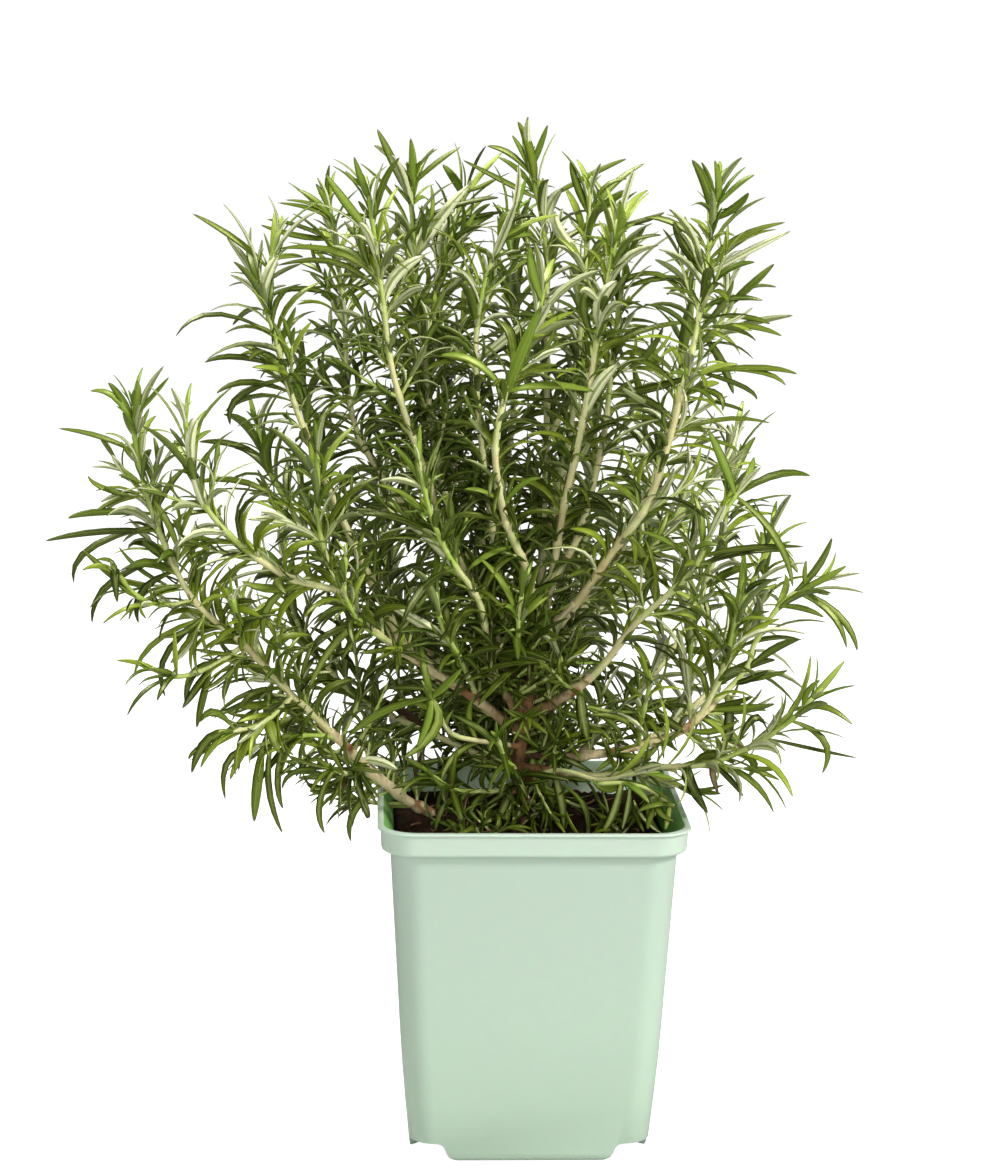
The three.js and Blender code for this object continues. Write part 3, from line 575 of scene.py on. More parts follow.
# Every shoot: name, radius at its base, length of its bare wood, and the points that it passes through. A
# separate program worked out a little over half of the points from readings of the photo by eye
shoots = [
    ("centre_front", 2.1, 22, [(2, -4, 183), (-2, -12, 209), (-10, -22, 228), (-14, -28, 245),
        (-15, -31, 260), (-11, -30, 279), (-1, -26, 301), (1, -24, 312)]),
    ("centre_right", 2, 24, [(2, -4, 183), (7, -4, 207), (10, -8, 230), (16, -12, 261), (21, -12, 293),
        (26, -10, 321), (28, -8, 336)]),
    ("tall_right", 2.1, 22, [(2, -4, 183), (15, -10, 198), (27, -22, 219), (39, -30, 239), (47, -34, 268),
        (54, -32, 299), (58, -28, 326), (61, -25, 349)]),
    ("right_front", 2, 34, [(-1, -2, 156), (10, -10, 163), (23, -20, 176), (36, -30, 196), (53, -40, 215),
        (60, -44, 231), (69, -44, 245)]),
    ("right_side", 2.1, 70, [(-3, 0, 141), (18, 0, 140), (40, -2, 144), (59, -4, 153), (69, -8, 173),
        (74, -12, 196), (80, -14, 211)]),
    ("right_outer", 1.6, 12, [(59, -4, 153), (79, 4, 171), (83, 8, 181), (94, 12, 196), (107, 14, 203)]),
    ("low_right", 1.7, 20, [(-4, 0, 136), (25, -14, 136), (43, -26, 142), (60, -34, 145), (74, -40, 152),
        (88, -46, 163), (96, -50, 173)]),
    ("front_right_small", 1.3, 8, [(-3, 0, 130), (10, -14, 138), (24, -24, 137), (37, -34, 142)]),
    ("front_left_small", 1.4, 8, [(-3, 0, 143), (-12, -10, 147), (-21, -18, 150), (-30, -26, 155),
        (-37, -34, 169)]),
    ("low_left", 2.3, 88, [(-24, 18, 88), (-29, 17, 101), (-34, 14, 113), (-45, 3, 122.5), (-53, -1, 130),
        (-61, -4, 138), (-70, -8, 148), (-86, -18, 166), (-103, -26, 186), (-120, -32, 203), (-130, -34, 223),
        (-136, -34, 240), (-140, -32, 258), (-141, -30, 271)]),
    ("left_front", 1.8, 26, [(-2, -1, 151), (-14, -14, 176), (-20, -26, 202), (-31, -38, 220),
        (-38, -46, 237), (-42, -48, 255)]),
    ("left_side", 2, 72, [(-2, -1, 147), (-19, -8, 162), (-36, -16, 175), (-54, -26, 189), (-68, -34, 207),
        (-76, -36, 228), (-77, -34, 256)]),
    ("tall_left", 2.1, 50, [(-1, -2, 159), (-10, -4, 178), (-19, -6, 198), (-30, -8, 221), (-43, -12, 257),
        (-51, -12, 282), (-55, -10, 310), (-60, -6, 345)]),
    ("tall_left_rear", 1.9, 6, [(-19, -6, 198), (-29, 8, 225), (-36, 16, 257), (-39, 20, 282), (-43, 22, 318),
        (-45, 22, 349)]),
    ("left_rear", 1.7, 0, [(-30, -8, 221), (-48, 8, 233), (-62, 20, 253), (-67, 26, 271), (-69, 30, 303),
        (-74, 30, 338)]),
    ("upper_left", 1.9, 8, [(-45, -21, 182), (-60, -14, 211), (-73, -10, 239), (-86, -10, 271),
        (-93, -12, 296), (-97, -12, 310), (-94, -12, 320), (-91, -12, 331)]),
    ("upper_left_rear", 1.7, 6, [(-34, -15, 174), (-55, 0, 193), (-74, 10, 210), (-88, 16, 229),
        (-97, 20, 245), (-100, 20, 259)]),
    ("outer_left", 1.6, 0, [(-68, -34, 207), (-87, -40, 213), (-104, -46, 226), (-115, -48, 239),
        (-120, -48, 254), (-122, -46, 269)]),
    ("low_left_sprig", 1.1, 0, [(-103, -26, 186), (-104, -40, 196), (-106, -48, 207)]),
    ("low_left_spur_a", 1.2, 0, [(-70, -8, 148), (-78, -16, 151), (-88, -27, 153), (-97, -35, 152)]),
    ("low_left_spur_b", 1.2, 0, [(-86, -18, 166), (-91, -30, 163), (-98, -40, 160), (-106, -48, 160)]),
    ("low_left_spur_c", 1.2, 0, [(-103, -26, 186), (-114, -34, 180), (-125, -42, 178), (-134, -48, 182)]),
    ("low_left_spur_d", 1.1, 0, [(-120, -32, 203), (-130, -40, 203), (-139, -45, 207), (-145, -48, 215)]),
    ("low_left_spur_e", 1.1, 0, [(-61, -4, 138), (-64, -16, 138), (-67, -28, 140), (-71, -38, 144)]),
    ("centre_rear", 1.9, 14, [(2, -4, 183), (4, 10, 211), (6, 26, 253), (6, 34, 296), (5, 36, 326),
        (-1, 36, 353)]),
    ("centre_right_rear", 1.8, 0, [(4, 10, 211), (10, 14, 235), (15, 22, 262), (18, 28, 297), (20, 30, 326),
        (21, 30, 345)]),
    ("centre_left", 1.8, 14, [(0, -3, 171), (-10, 0, 201), (-17, 4, 241), (-21, 8, 284), (-18, 10, 312),
        (-8, 10, 337)]),
    ("centre_left_rear", 1.7, 0, [(-10, 0, 201), (-23, 18, 231), (-31, 34, 266), (-34, 40, 303),
        (-31, 42, 324), (-24, 42, 343)]),
    ("right_middle", 1.7, 0, [(7, -4, 205), (17, 0, 223), (25, 2, 256), (28, 2, 288), (30, 0, 307),
        (32, 0, 323)]),
    ("tall_right_sprig", 1, 0, [(54, -32, 299), (60, -24, 296), (65, -18, 303), (67, -16, 314)]),
    ("right_rear", 1.6, 0, [(15, -10, 198), (35, 4, 212), (53, 14, 227), (70, 20, 243)]),
    ("right_side_sprig", 1.3, 0, [(59, -4, 153), (59, 8, 163), (60, 14, 180), (59, 18, 198)]),
    ("right_low_sprig", 1.1, 0, [(40, -2, 144), (40, -10, 155), (42, -18, 170)]),
    ("front_sprig", 1.2, 6, [(0, -3, 171), (-5, -18, 183), (-6, -26, 193), (-5, -28, 206)]),
    ("left_sprig", 1.3, 6, [(-19, -8, 162), (-26, -22, 180), (-33, -32, 194), (-36, -34, 208)]),
    ("front_low_sprig", 1.2, 6, [(-3, 0, 130), (-6, -16, 139), (-10, -26, 145), (-13, -34, 154)]),
    ("front_left_low_sprig", 1.2, 6, [(-3, 1, 126), (-16, -10, 129), (-27, -20, 132), (-36, -28, 139)]),
    ("left_side_sprig", 1.2, 4, [(-50, -24, 186), (-62, -40, 197), (-67, -48, 209), (-67, -50, 222)]),
    ("rear_a", 1.9, 30, [(-2, -1, 151), (-8, 25, 172), (-22, 50, 205), (-34, 62, 245), (-38, 66, 290)]),
    ("rear_b", 1.9, 30, [(-4, 0, 136), (6, 25, 155), (18, 52, 185), (26, 70, 225), (28, 76, 270)]),
    ("rear_c", 1.8, 26, [(-1, -2, 159), (16, 20, 185), (38, 40, 215), (54, 50, 255), (60, 52, 297)]),
    ("rear_d", 1.8, 30, [(-2, -1, 147), (-30, 22, 168), (-58, 42, 198), (-78, 52, 235), (-84, 54, 272)]),
    ("rear_e", 1.8, 30, [(-4, 0, 136), (-20, 32, 146), (-40, 64, 165), (-52, 86, 196), (-55, 94, 232)]),
    ("rear_f", 1.8, 30, [(-3, 0, 141), (8, 37, 150), (16, 68, 170), (18, 88, 205), (16, 93, 245)]),
    ("rear_g", 1.7, 10, [(18, 0, 140), (40, 26, 155), (62, 46, 180), (76, 56, 215), (80, 58, 250)]),
    ("rear_h", 1.7, 26, [(-3, 0, 128), (-10, 40, 136), (-14, 72, 143), (-16, 94, 162), (-17, 101, 190)]),
    ("rear_i", 1.7, 0, [(6, 26, 253), (18, 42, 272), (28, 52, 300), (32, 54, 335)]),
    ("rear_j", 1.7, 0, [(-17, 30, 185), (-12, 40, 215), (-6, 52, 250), (-4, 58, 290), (-6, 60, 326)]),
    ("rear_k", 1.6, 10, [(40, -2, 144), (58, 22, 150), (76, 44, 162), (90, 56, 186), (95, 60, 216)]),
    ("rear_l", 1.6, 20, [(-4, 0, 134), (-34, 24, 142), (-62, 48, 151), (-84, 62, 172), (-92, 68, 202)]),
    ("rear_m", 1.5, 0, [(16, 68, 170), (34, 80, 182), (48, 85, 202), (54, 86, 228)]),
]

trunk = [(-1, 2, 78), (-1, 2, 98), (-1, 2, 117), (-4, 0, 136), (-2, -1, 148), (-1, -2, 160), (2, -4, 184)]
stemSetup = {
    "trunkRadius": 2.9, "trunkTopRadius": 1.9, "trunkFoot": 0.3, "tipRadius": 0.7, "slim": 0.76,
    "sides": 8, "ringStep": 1.5, "ridge": 0.07, "jointSwell": 0.32, "jointLength": 1.3, "inWood": 1.5,
    "weld": 0.000004,
    "woodyAtTip": 0.04, "woodyShare": 0.32, "woodyFrom": [(20, 80), (100, 220)],
}

# how wide a blade is at each height, and its section
leafSetup = {
    "levels": [(0.34, 0.0), (0.58, 0.1), (0.86, 0.25), (1.0, 0.42), (0.97, 0.6), (0.8, 0.76), (0.56, 0.88),
               (0.31, 0.96)],
    "section": [(0.5, 0.0), (0.24, 0.15), (0.0, 0.06), (-0.24, 0.15), (-0.5, 0.0), (0.0, -0.13)],
    "narrow": 0.9, "widthPerLength": 0.075, "widthVary": 0.16, "twist": 55.0, "curl": 16.0, "curlVary": 32.0,
    "sway": 0.6, "lean": 0.35, "deadChance": 0.03, "deadBelow": 150.0,
    # painted shade: how much darker the leaves in the middle of the bush are painted, and where
    "middle": (-36.0, 22.0), "paintedShadeInside": 0.75, "paintedShadeReach": (30, 85), "paintedShadeHeight": (240, 320),
}

# leaves low in the bush are narrower and bend more
lowLeafSetup = dict(leafSetup, narrow=0.8, widthPerLength=0.062, curl=30.0, curlVary=40.0)

twigSetup = {
    "levels": [(1.0, 0.0), (0.9, 0.3), (0.8, 0.6), (0.62, 0.9)],
    "section": [(math.cos(a * math.pi / 3) / 2, math.sin(a * math.pi / 3) / 2) for a in range(6)],
}

sprigSetup = {
    "twigFrom": 3.0, "twigWidth": 1.0, "twigGrowth": 0.02, "twigWoody": 0.12, "pairLength": 5.0,
    "firstPair": 0.3, "lastPair": 0.4, "onlyPair": 0.6, "tipSmaller": 0.5, "size": 0.82, "sizeVary": 0.3,
    "low": 58.0, "high": 14.0, "openVary": 14.0, "turnVary": 0.4, "hang": 0.3,
}

growthSetup = {
    "seed": 31, "firstWhorl": 2.5, "whorlStepAtTip": 6.6, "whorlStepGrowth": 1.5, "whorlStepMost": 15.0,
    "bareBase": 4.0, "shortest": 17.0, "longer": 15.0, "growth": 10.0, "size": 0.78, "sizeVary": 0.42,
    "openAtTip": 24.0, "openMore": 50.0, "openVary": 24.0, "ageLength": 70.0, "aside": 0.8, "footDepth": 0.6,
    "hang": 0.1, "hangMore": 0.95, "fresh": 0.8, "freshLength": 34.0, "budFresh": 0.15, "budFreshVary": 0.35,
    "calmFresh": 0.25, "calmBudFresh": 0.3, "calmHang": 0.8, "calmFrom": 8.0, "calmKept": 0.25,
    "budFrom": 10.0, "budChance": 0.9, "budOut": (0.6, 0.4), "budLength": 1.5, "budLengthVary": 5,
    "budLeaf": (10, 9), "frontBudOut": 0.35, "frontBudLength": 1.5, "frontBudLeaf": (6, 5),
    "frontBudOpen": 34.0,
    "sideFrom": 30.0, "sideChance": 0.5, "sideOut": (0.8, 0.5), "sideLength": 10, "sideLengthVary": 22,
    "sideLeaf": (17, 8), "tipLength": 2.0, "tipLeaf": 9, "tipOpen": (16.0, 6.0), "tipDown": 1.5,
    "bareFrom": 35.0, "frontOut": -0.35, "bareFront": 0.7, "frontBetween": -0.4, "bareBetween": 0.4,
    "firstBetween": 16.0, "twoBetweenFrom": 24.0, "thickFrom": 42.0, "thickShare": 2.5,
    "betweenSize": 0.9, "betweenLeast": 0.75, "betweenVary": 0.45, "betweenOpenVary": 30.0,
    "betweenHang": 0.75, "betweenTurn": 1.1, "betweenStep": 0.4, "betweenAside": 0.8,
}

# how thickly a stem is set with leaves, where it isn't 1
fullness = {
    "low_left_spur_c": 0.15, "low_left_spur_b": 1.1, "low_left_spur_a": 1.5, "low_left_spur_d": 0.7,
    "low_left_spur_e": 1.5, "rear_k": 0.8, "right_outer": 0.45, "right_front": 0.75, "tall_right": 0.75,
    "rear_i": 0.8, "right_middle": 0.9, "low_right": 0.7, "right_rear": 0.8, "tall_right_sprig": 0.5,
    "centre_rear": 1.2, "rear_g": 1.1, "rear_c": 1.3, "front_right_small": 0.1, "front_left_small": 0.1,
    "front_low_sprig": 0.6, "front_left_low_sprig": 0.7, "front_sprig": 0.7, "outer_left": 1.8,
    "left_side": 1.9, "tall_left": 1.8, "low_left": 3.0, "left_rear": 1.9, "tall_left_rear": 1.9,
    "centre_left": 1.6, "centre_left_rear": 1.9, "rear_l": 2.5, "rear_d": 0.8, "rear_e": 2.2, "rear_a": 1.3,
    "rear_j": 1.4, "rear_b": 0.8, "rear_f": 0.7, "centre_right_rear": 0.7,
}

# from where on, counted from its tip, a stem shows at the front
bareFrom = {
    "front_left_small": 10.0, "front_right_small": 10.0, "tall_right": 105.0, "centre_right": 65.0,
    "upper_left": 70.0, "left_rear": 80.0, "tall_left_rear": 90.0, "right_middle": 70.0, "centre_rear": 90.0,
}

# shoots with leaves only near the tip, with stems that are pale up to the tip, and with fresh leaves
leafyLength = {"front_left_small": 14.0, "front_right_small": 14.0}
woodyTip = {"front_left_small": 0.3, "front_right_small": 0.3, "low_left_spur_b": 0.2, "low_left_spur_c": 0.2}
freshShoots = {"front_left_small": 0.45, "front_right_small": 0.3, "low_right": 0.25}

# low side shoots without bright tips, their leaves hanging
calmShoots = {
    "low_left_spur_a", "low_left_spur_b", "low_left_spur_c", "low_left_spur_d", "low_left_spur_e",
    "front_low_sprig", "front_left_low_sprig", "right_low_sprig", "low_left_sprig", "left_side_sprig",
}

down = np.array([0.0, 0.0, -1.0])


# A number from 0 to 1 that looks random and is always the same for the same three numbers
def chance(shoot, whorl, use):
    wave = math.sin(shoot * 127.1 + whorl * 311.7 + use * 74.7 + 5.3) * 43758.5453
    return wave - math.floor(wave)


def smooth(value, low, high):
    share = min(max((value - low) / (high - low), 0), 1)
    return share * share * (3 - 2 * share)


def unit(vector):
    return vector / np.linalg.norm(vector, axis=-1, keepdims=True)


# What is left of a direction when it is made square to another one
def squareTo(vector, along):
    return unit(vector - along * vector.dot(along))


def turned(side, along, angle):
    return side * math.cos(angle) + np.cross(along, side) * math.sin(angle)


def bowHeading(start, middle, end, t):
    return unit((middle - start) * (1 - t) + (end - middle) * t)


# A smooth line through points at even steps, with a direction and a side at each place
class Spine:
    def __init__(self, points, step=2.0):
        points = np.array(points, float)
        ends = np.vstack([2 * points[0] - points[1], points, 2 * points[-1] - points[-2]])
        parts = []
        share = np.linspace(0, 1, 24, endpoint=False)[:, None]
        for a, b, c, d in zip(ends, ends[1:], ends[2:], ends[3:]):
            out, into = (c - a) / 2, (d - b) / 2
            parts.append((2 * b - 2 * c + out + into) * share ** 3
                         + (3 * c - 3 * b - 2 * out - into) * share ** 2 + out * share + b)
        raw = np.vstack(parts + [points[-1:]])
        reach = np.concatenate([[0], np.cumsum(np.linalg.norm(np.diff(raw, axis=0), axis=1))])
        self.length = reach[-1]
        even = np.linspace(0, self.length, math.ceil(self.length / step) + 1)
        self.line = np.column_stack([np.interp(even, reach, raw[:, k]) for k in range(3)])
        ahead = np.vstack([self.line[1:], self.line[-1:]])
        behind = np.vstack([self.line[:1], self.line[:-1]])
        self.along = unit(ahead - behind)
        sides = [np.array([0.0, 1.0, 0.0])]
        for direction in self.along:
            sides.append(squareTo(sides[-1], direction))
        self.across = np.array(sides[1:])

    def at(self, distance):
        place = min(max(distance / self.length, 0), 1) * (len(self.line) - 1)
        low = min(int(place), len(self.line) - 2)
        share = place - low
        middle, along, across = (values[low] * (1 - share) + values[low + 1] * share
                                 for values in (self.line, self.along, self.across))
        return middle, unit(along), unit(across)


# A grid is rolled into a tube along a spine, and its two ends are drawn to a point
def rollTube(name, spine, start, end, radiusAt, joints, woodyAt, setup=stemSetup):
    sides = setup["sides"]
    count = max(2, round((end - start) / setup["ringStep"]))
    distances = np.concatenate([[start], np.linspace(start, end, count + 1), [end]])
    bpy.ops.mesh.primitive_grid_add(x_subdivisions=sides, y_subdivisions=len(distances) - 1, size=1)
    tube = bpy.context.object
    tube.name = name
    mesh = tube.data
    flat = np.empty(len(mesh.vertices) * 3)
    mesh.vertices.foreach_get("co", flat)
    flat = flat.reshape(-1, 3) + 0.5
    angle = flat[:, 0] * 2 * np.pi
    station = np.rint(flat[:, 1] * (len(distances) - 1)).astype(int)
    frames = [spine.at(d) for d in distances]
    middle, along, across = (np.array([f[k] for f in frames]) for k in range(3))
    radius = np.array([radiusAt(d) for d in distances])
    for joint in joints:
        radius *= 1 + setup["jointSwell"] * np.exp(-((distances - joint) / setup["jointLength"]) ** 2)
    radius[0] = radius[-1] = 0
    ridge = 1 + setup["ridge"] * np.cos(angle * sides / 2)
    other = np.cross(along, across)
    reach = (radius[station] * ridge)[:, None]
    points = middle[station] + reach * (np.cos(angle)[:, None] * across[station]
                                        + np.sin(angle)[:, None] * other[station])
    mesh.vertices.foreach_set("co", (points * mm).ravel())
    tone = mesh.color_attributes.new("tone", "FLOAT_COLOR", "POINT")
    woody = np.array([woodyAt(d) for d in distances])[station]
    none = np.zeros(len(woody))
    tone.data.foreach_set("color", np.column_stack([none, none, woody, none + 1]).ravel())
    place = mesh.uv_layers[0]
    place.name = "blade"
    corners = np.empty(len(mesh.loops), int)
    mesh.loops.foreach_get("vertex_index", corners)
    around = np.column_stack([flat[corners, 0], distances[station[corners]] / 100])
    place.data.foreach_set("uv", around.ravel())
    editAll(tube)
    bpy.ops.mesh.remove_doubles(threshold=setup["weld"])
    bpy.ops.object.mode_set(mode="OBJECT")
    bpy.ops.object.shade_smooth()
    mesh.materials.append(stemMaterial)
    return tube


# One blade or twig, a unit long and wide, that grows up Z with its upper face to +Y
def makeUnit(setup):
    levels, section = setup["levels"], setup["section"]
    bpy.ops.mesh.primitive_circle_add(vertices=len(section), radius=0.5, fill_type="NGON")
    blade = bpy.context.object
    for vertex, (x, y) in zip(blade.data.vertices, section):
        vertex.co = (x * levels[0][0], y * levels[0][0], 0)
    editAll(blade)
    extrudeLevels(levels)
    extrudeBy(0, 0, 1 - levels[-1][1])
    bpy.ops.mesh.merge(type="CENTER")
    faceOutwards()
    bpy.ops.mesh.quads_convert_to_tris()
    bpy.ops.object.mode_set(mode="OBJECT")
    mesh = blade.data
    points = np.array([v.co for v in mesh.vertices])
    corners = np.array([list(p.vertices) for p in mesh.polygons])
    # the map shows the upper face from 0 to 0.5 and the lower one from 0.5 to 1
    onTop = np.array([p.normal.y > 0 for p in mesh.polygons])[:, None]
    across, height = points[corners][:, :, 0], points[corners][:, :, 2]
    widths, heights = zip(*(levels + [(0.1, 1.0)]))
    wide = np.interp(height, heights, widths)
    u = 0.25 + 0.5 * across / wide * np.where(onTop, 1, -1) * 0.499 + np.where(onTop, 0, 0.5)
    place = np.stack([np.clip(u, 0.0, 1.0), height], axis=2)
    bpy.data.objects.remove(blade)
    return points, corners, place


bladeUnit = makeUnit(leafSetup)
twigUnit = makeUnit(twigSetup)
print("one blade has", len(bladeUnit[1]), "triangles, one twig", len(twigUnit[1]))


# Bent copies of a unit form in one mesh. Each copy: root, bend, tip, upper side, width and three tones
def spreadCopies(name, unitForm, copies, material):
    unitPoints, unitCorners, unitPlace = unitForm
    root, bend, tip, top = (np.array([copy[k] for copy in copies])[:, None, :] for k in range(4))
    width = np.array([copy[4] for copy in copies])[:, None, None]
    tones = np.array([list(copy[5:8]) + [1.0] for copy in copies])
    t = unitPoints[None, :, 2:3]
    heading = bowHeading(root, bend, tip, t)
    side = np.cross(top, unit(tip - root))
    side = unit(side - heading * np.sum(side * heading, axis=2, keepdims=True))
    face = np.cross(heading, side)
    section = side * unitPoints[None, :, 0:1] + face * unitPoints[None, :, 1:2]
    points = bow(root, bend, tip, t) + width * section
    count, size = len(copies), len(unitPoints)
    corners = (unitCorners[None] + np.arange(count)[:, None, None] * size).reshape(-1, 3)
    mesh = bpy.data.meshes.new(name)
    mesh.vertices.add(count * size)
    mesh.vertices.foreach_set("co", (points * mm).ravel())
    mesh.loops.add(corners.size)
    mesh.loops.foreach_set("vertex_index", corners.ravel())
    mesh.polygons.add(len(corners))
    mesh.polygons.foreach_set("loop_start", np.arange(0, corners.size, 3))
    mesh.polygons.foreach_set("use_smooth", np.ones(len(corners), bool))
    place = mesh.uv_layers.new(name="blade")
    place.data.foreach_set("uv", np.tile(unitPlace.reshape(-1, 2), (count, 1)).ravel())
    tone = mesh.color_attributes.new("tone", "FLOAT_COLOR", "POINT")
    tone.data.foreach_set("color", np.repeat(tones, size, axis=0).ravel())
    mesh.update(calc_edges=True)
    mesh.materials.append(material)
    piece = bpy.data.objects.new(name, mesh)
    scene.collection.objects.link(piece)
    return piece


# Copies that would pass through the wall of the pot are left off
def clearOfPot(copies):
    kept = []
    for copy in copies:
        places = [bow(*copy[:3], t) for t in (0.25, 0.5, 0.75, 0.9, 1.0)]
        reach = [max(abs(p[0]), abs(p[1])) for p in places if p[2] < potSetup["clearTop"]]
        if not any(potSetup["clearInside"] < r < potSetup["clearOutside"] for r in reach):
            kept.append(copy)
    return kept


def pairsOn(reach):
    return max(2, round(reach / sprigSetup["pairLength"]))


# The leaves and twigs of one piece, with its own random draws
class Growth:
    def __init__(self, seed):
        self.random = np.random.default_rng(seed)
        self.leaves = []
        self.twigs = []

    def draw(self, least=0.0, vary=1.0):
        return least + vary * self.random.random()

    # a leaf that starts close to the stem, arches outwards and hangs a little
    def addLeaf(self, root, along, out, length, opening, hang, young, setup=leafSetup):
        curl = math.radians(self.draw(setup["curl"], setup["curlVary"])) * min(1.0, opening)
        start = along * math.cos(opening - curl) + out * math.sin(opening - curl)
        sway = np.cross(along, out) * (self.draw() - 0.5) * setup["sway"]
        far = opening + curl
        end = unit(along * math.cos(far) + out * (math.sin(far) + setup["lean"]) + down * hang + sway)
        bend = root + start * length * 0.5
        tip = bend + end * length * 0.5
        heading = unit(tip - root)
        twist = math.radians(setup["twist"]) * (self.draw() + self.draw() - 1)
        top = turned(squareTo(along, heading), heading, twist)
        width = setup["narrow"] + setup["widthPerLength"] * length
        width *= 1 + setup["widthVary"] * (2 * self.draw() - 1)
        dead = float(self.draw() < setup["deadChance"] and root[2] < setup["deadBelow"])
        # leaves in the middle of the bush are painted darker, a painted shade, up to where the light reaches
        # in
        fromMiddle = math.hypot(root[0] - setup["middle"][0], root[1] - setup["middle"][1])
        inner = (1 - smooth(fromMiddle, *setup["paintedShadeReach"])) * (1 - smooth(root[2], *setup["paintedShadeHeight"]))
        light = 1 - setup["paintedShadeInside"] * inner
        self.leaves.append((root, bend, tip, top, width, young * light, self.draw() * light, dead))

    # a short bent twig with crossed pairs of leaves, for a tip, a bud or a side shoot
    def addSprig(self, root, axis, bendTo, side, reach, pairs, longest, young, low=sprigSetup["low"],
                 high=sprigSetup["high"], form=leafSetup, setup=sprigSetup):
        bend = root + axis * reach * 0.5
        tip = bend + unit(axis + bendTo) * reach * 0.5
        if reach > setup["twigFrom"]:
            width = setup["twigWidth"] + setup["twigGrowth"] * reach
            self.twigs.append((root, bend, tip, side, width, 0.0, self.draw(), setup["twigWoody"]))
        turn = self.draw() * math.pi
        for k in range(pairs):
            share = (k + setup["firstPair"]) / (pairs - setup["lastPair"]) if pairs > 1 else setup["onlyPair"]
            share = min(share, 1.0)
            along = bowHeading(root, bend, tip, share)
            size = longest * (1 - setup["tipSmaller"] * share ** 2)
            size *= self.draw(setup["size"], setup["sizeVary"])
            opening = math.radians(low + (high - low) * share + setup["openVary"] * (self.draw() - 0.5))
            for facing in range(2):
                angle = turn + k * math.pi / 2 + facing * math.pi + setup["turnVary"] * (self.draw() - 0.5)
                out = turned(squareTo(side, along), along, angle)
                self.addLeaf(bow(root, bend, tip, share), along, out, size, opening,
                             setup["hang"] * (1 - share), young, form)

    def build(self, name):
        pieces = [spreadCopies(name, bladeUnit, clearOfPot(self.leaves), leafMaterial)]
        if self.twigs:
            pieces.append(spreadCopies(name + "Twigs", twigUnit, self.twigs, stemMaterial))
        return pieces


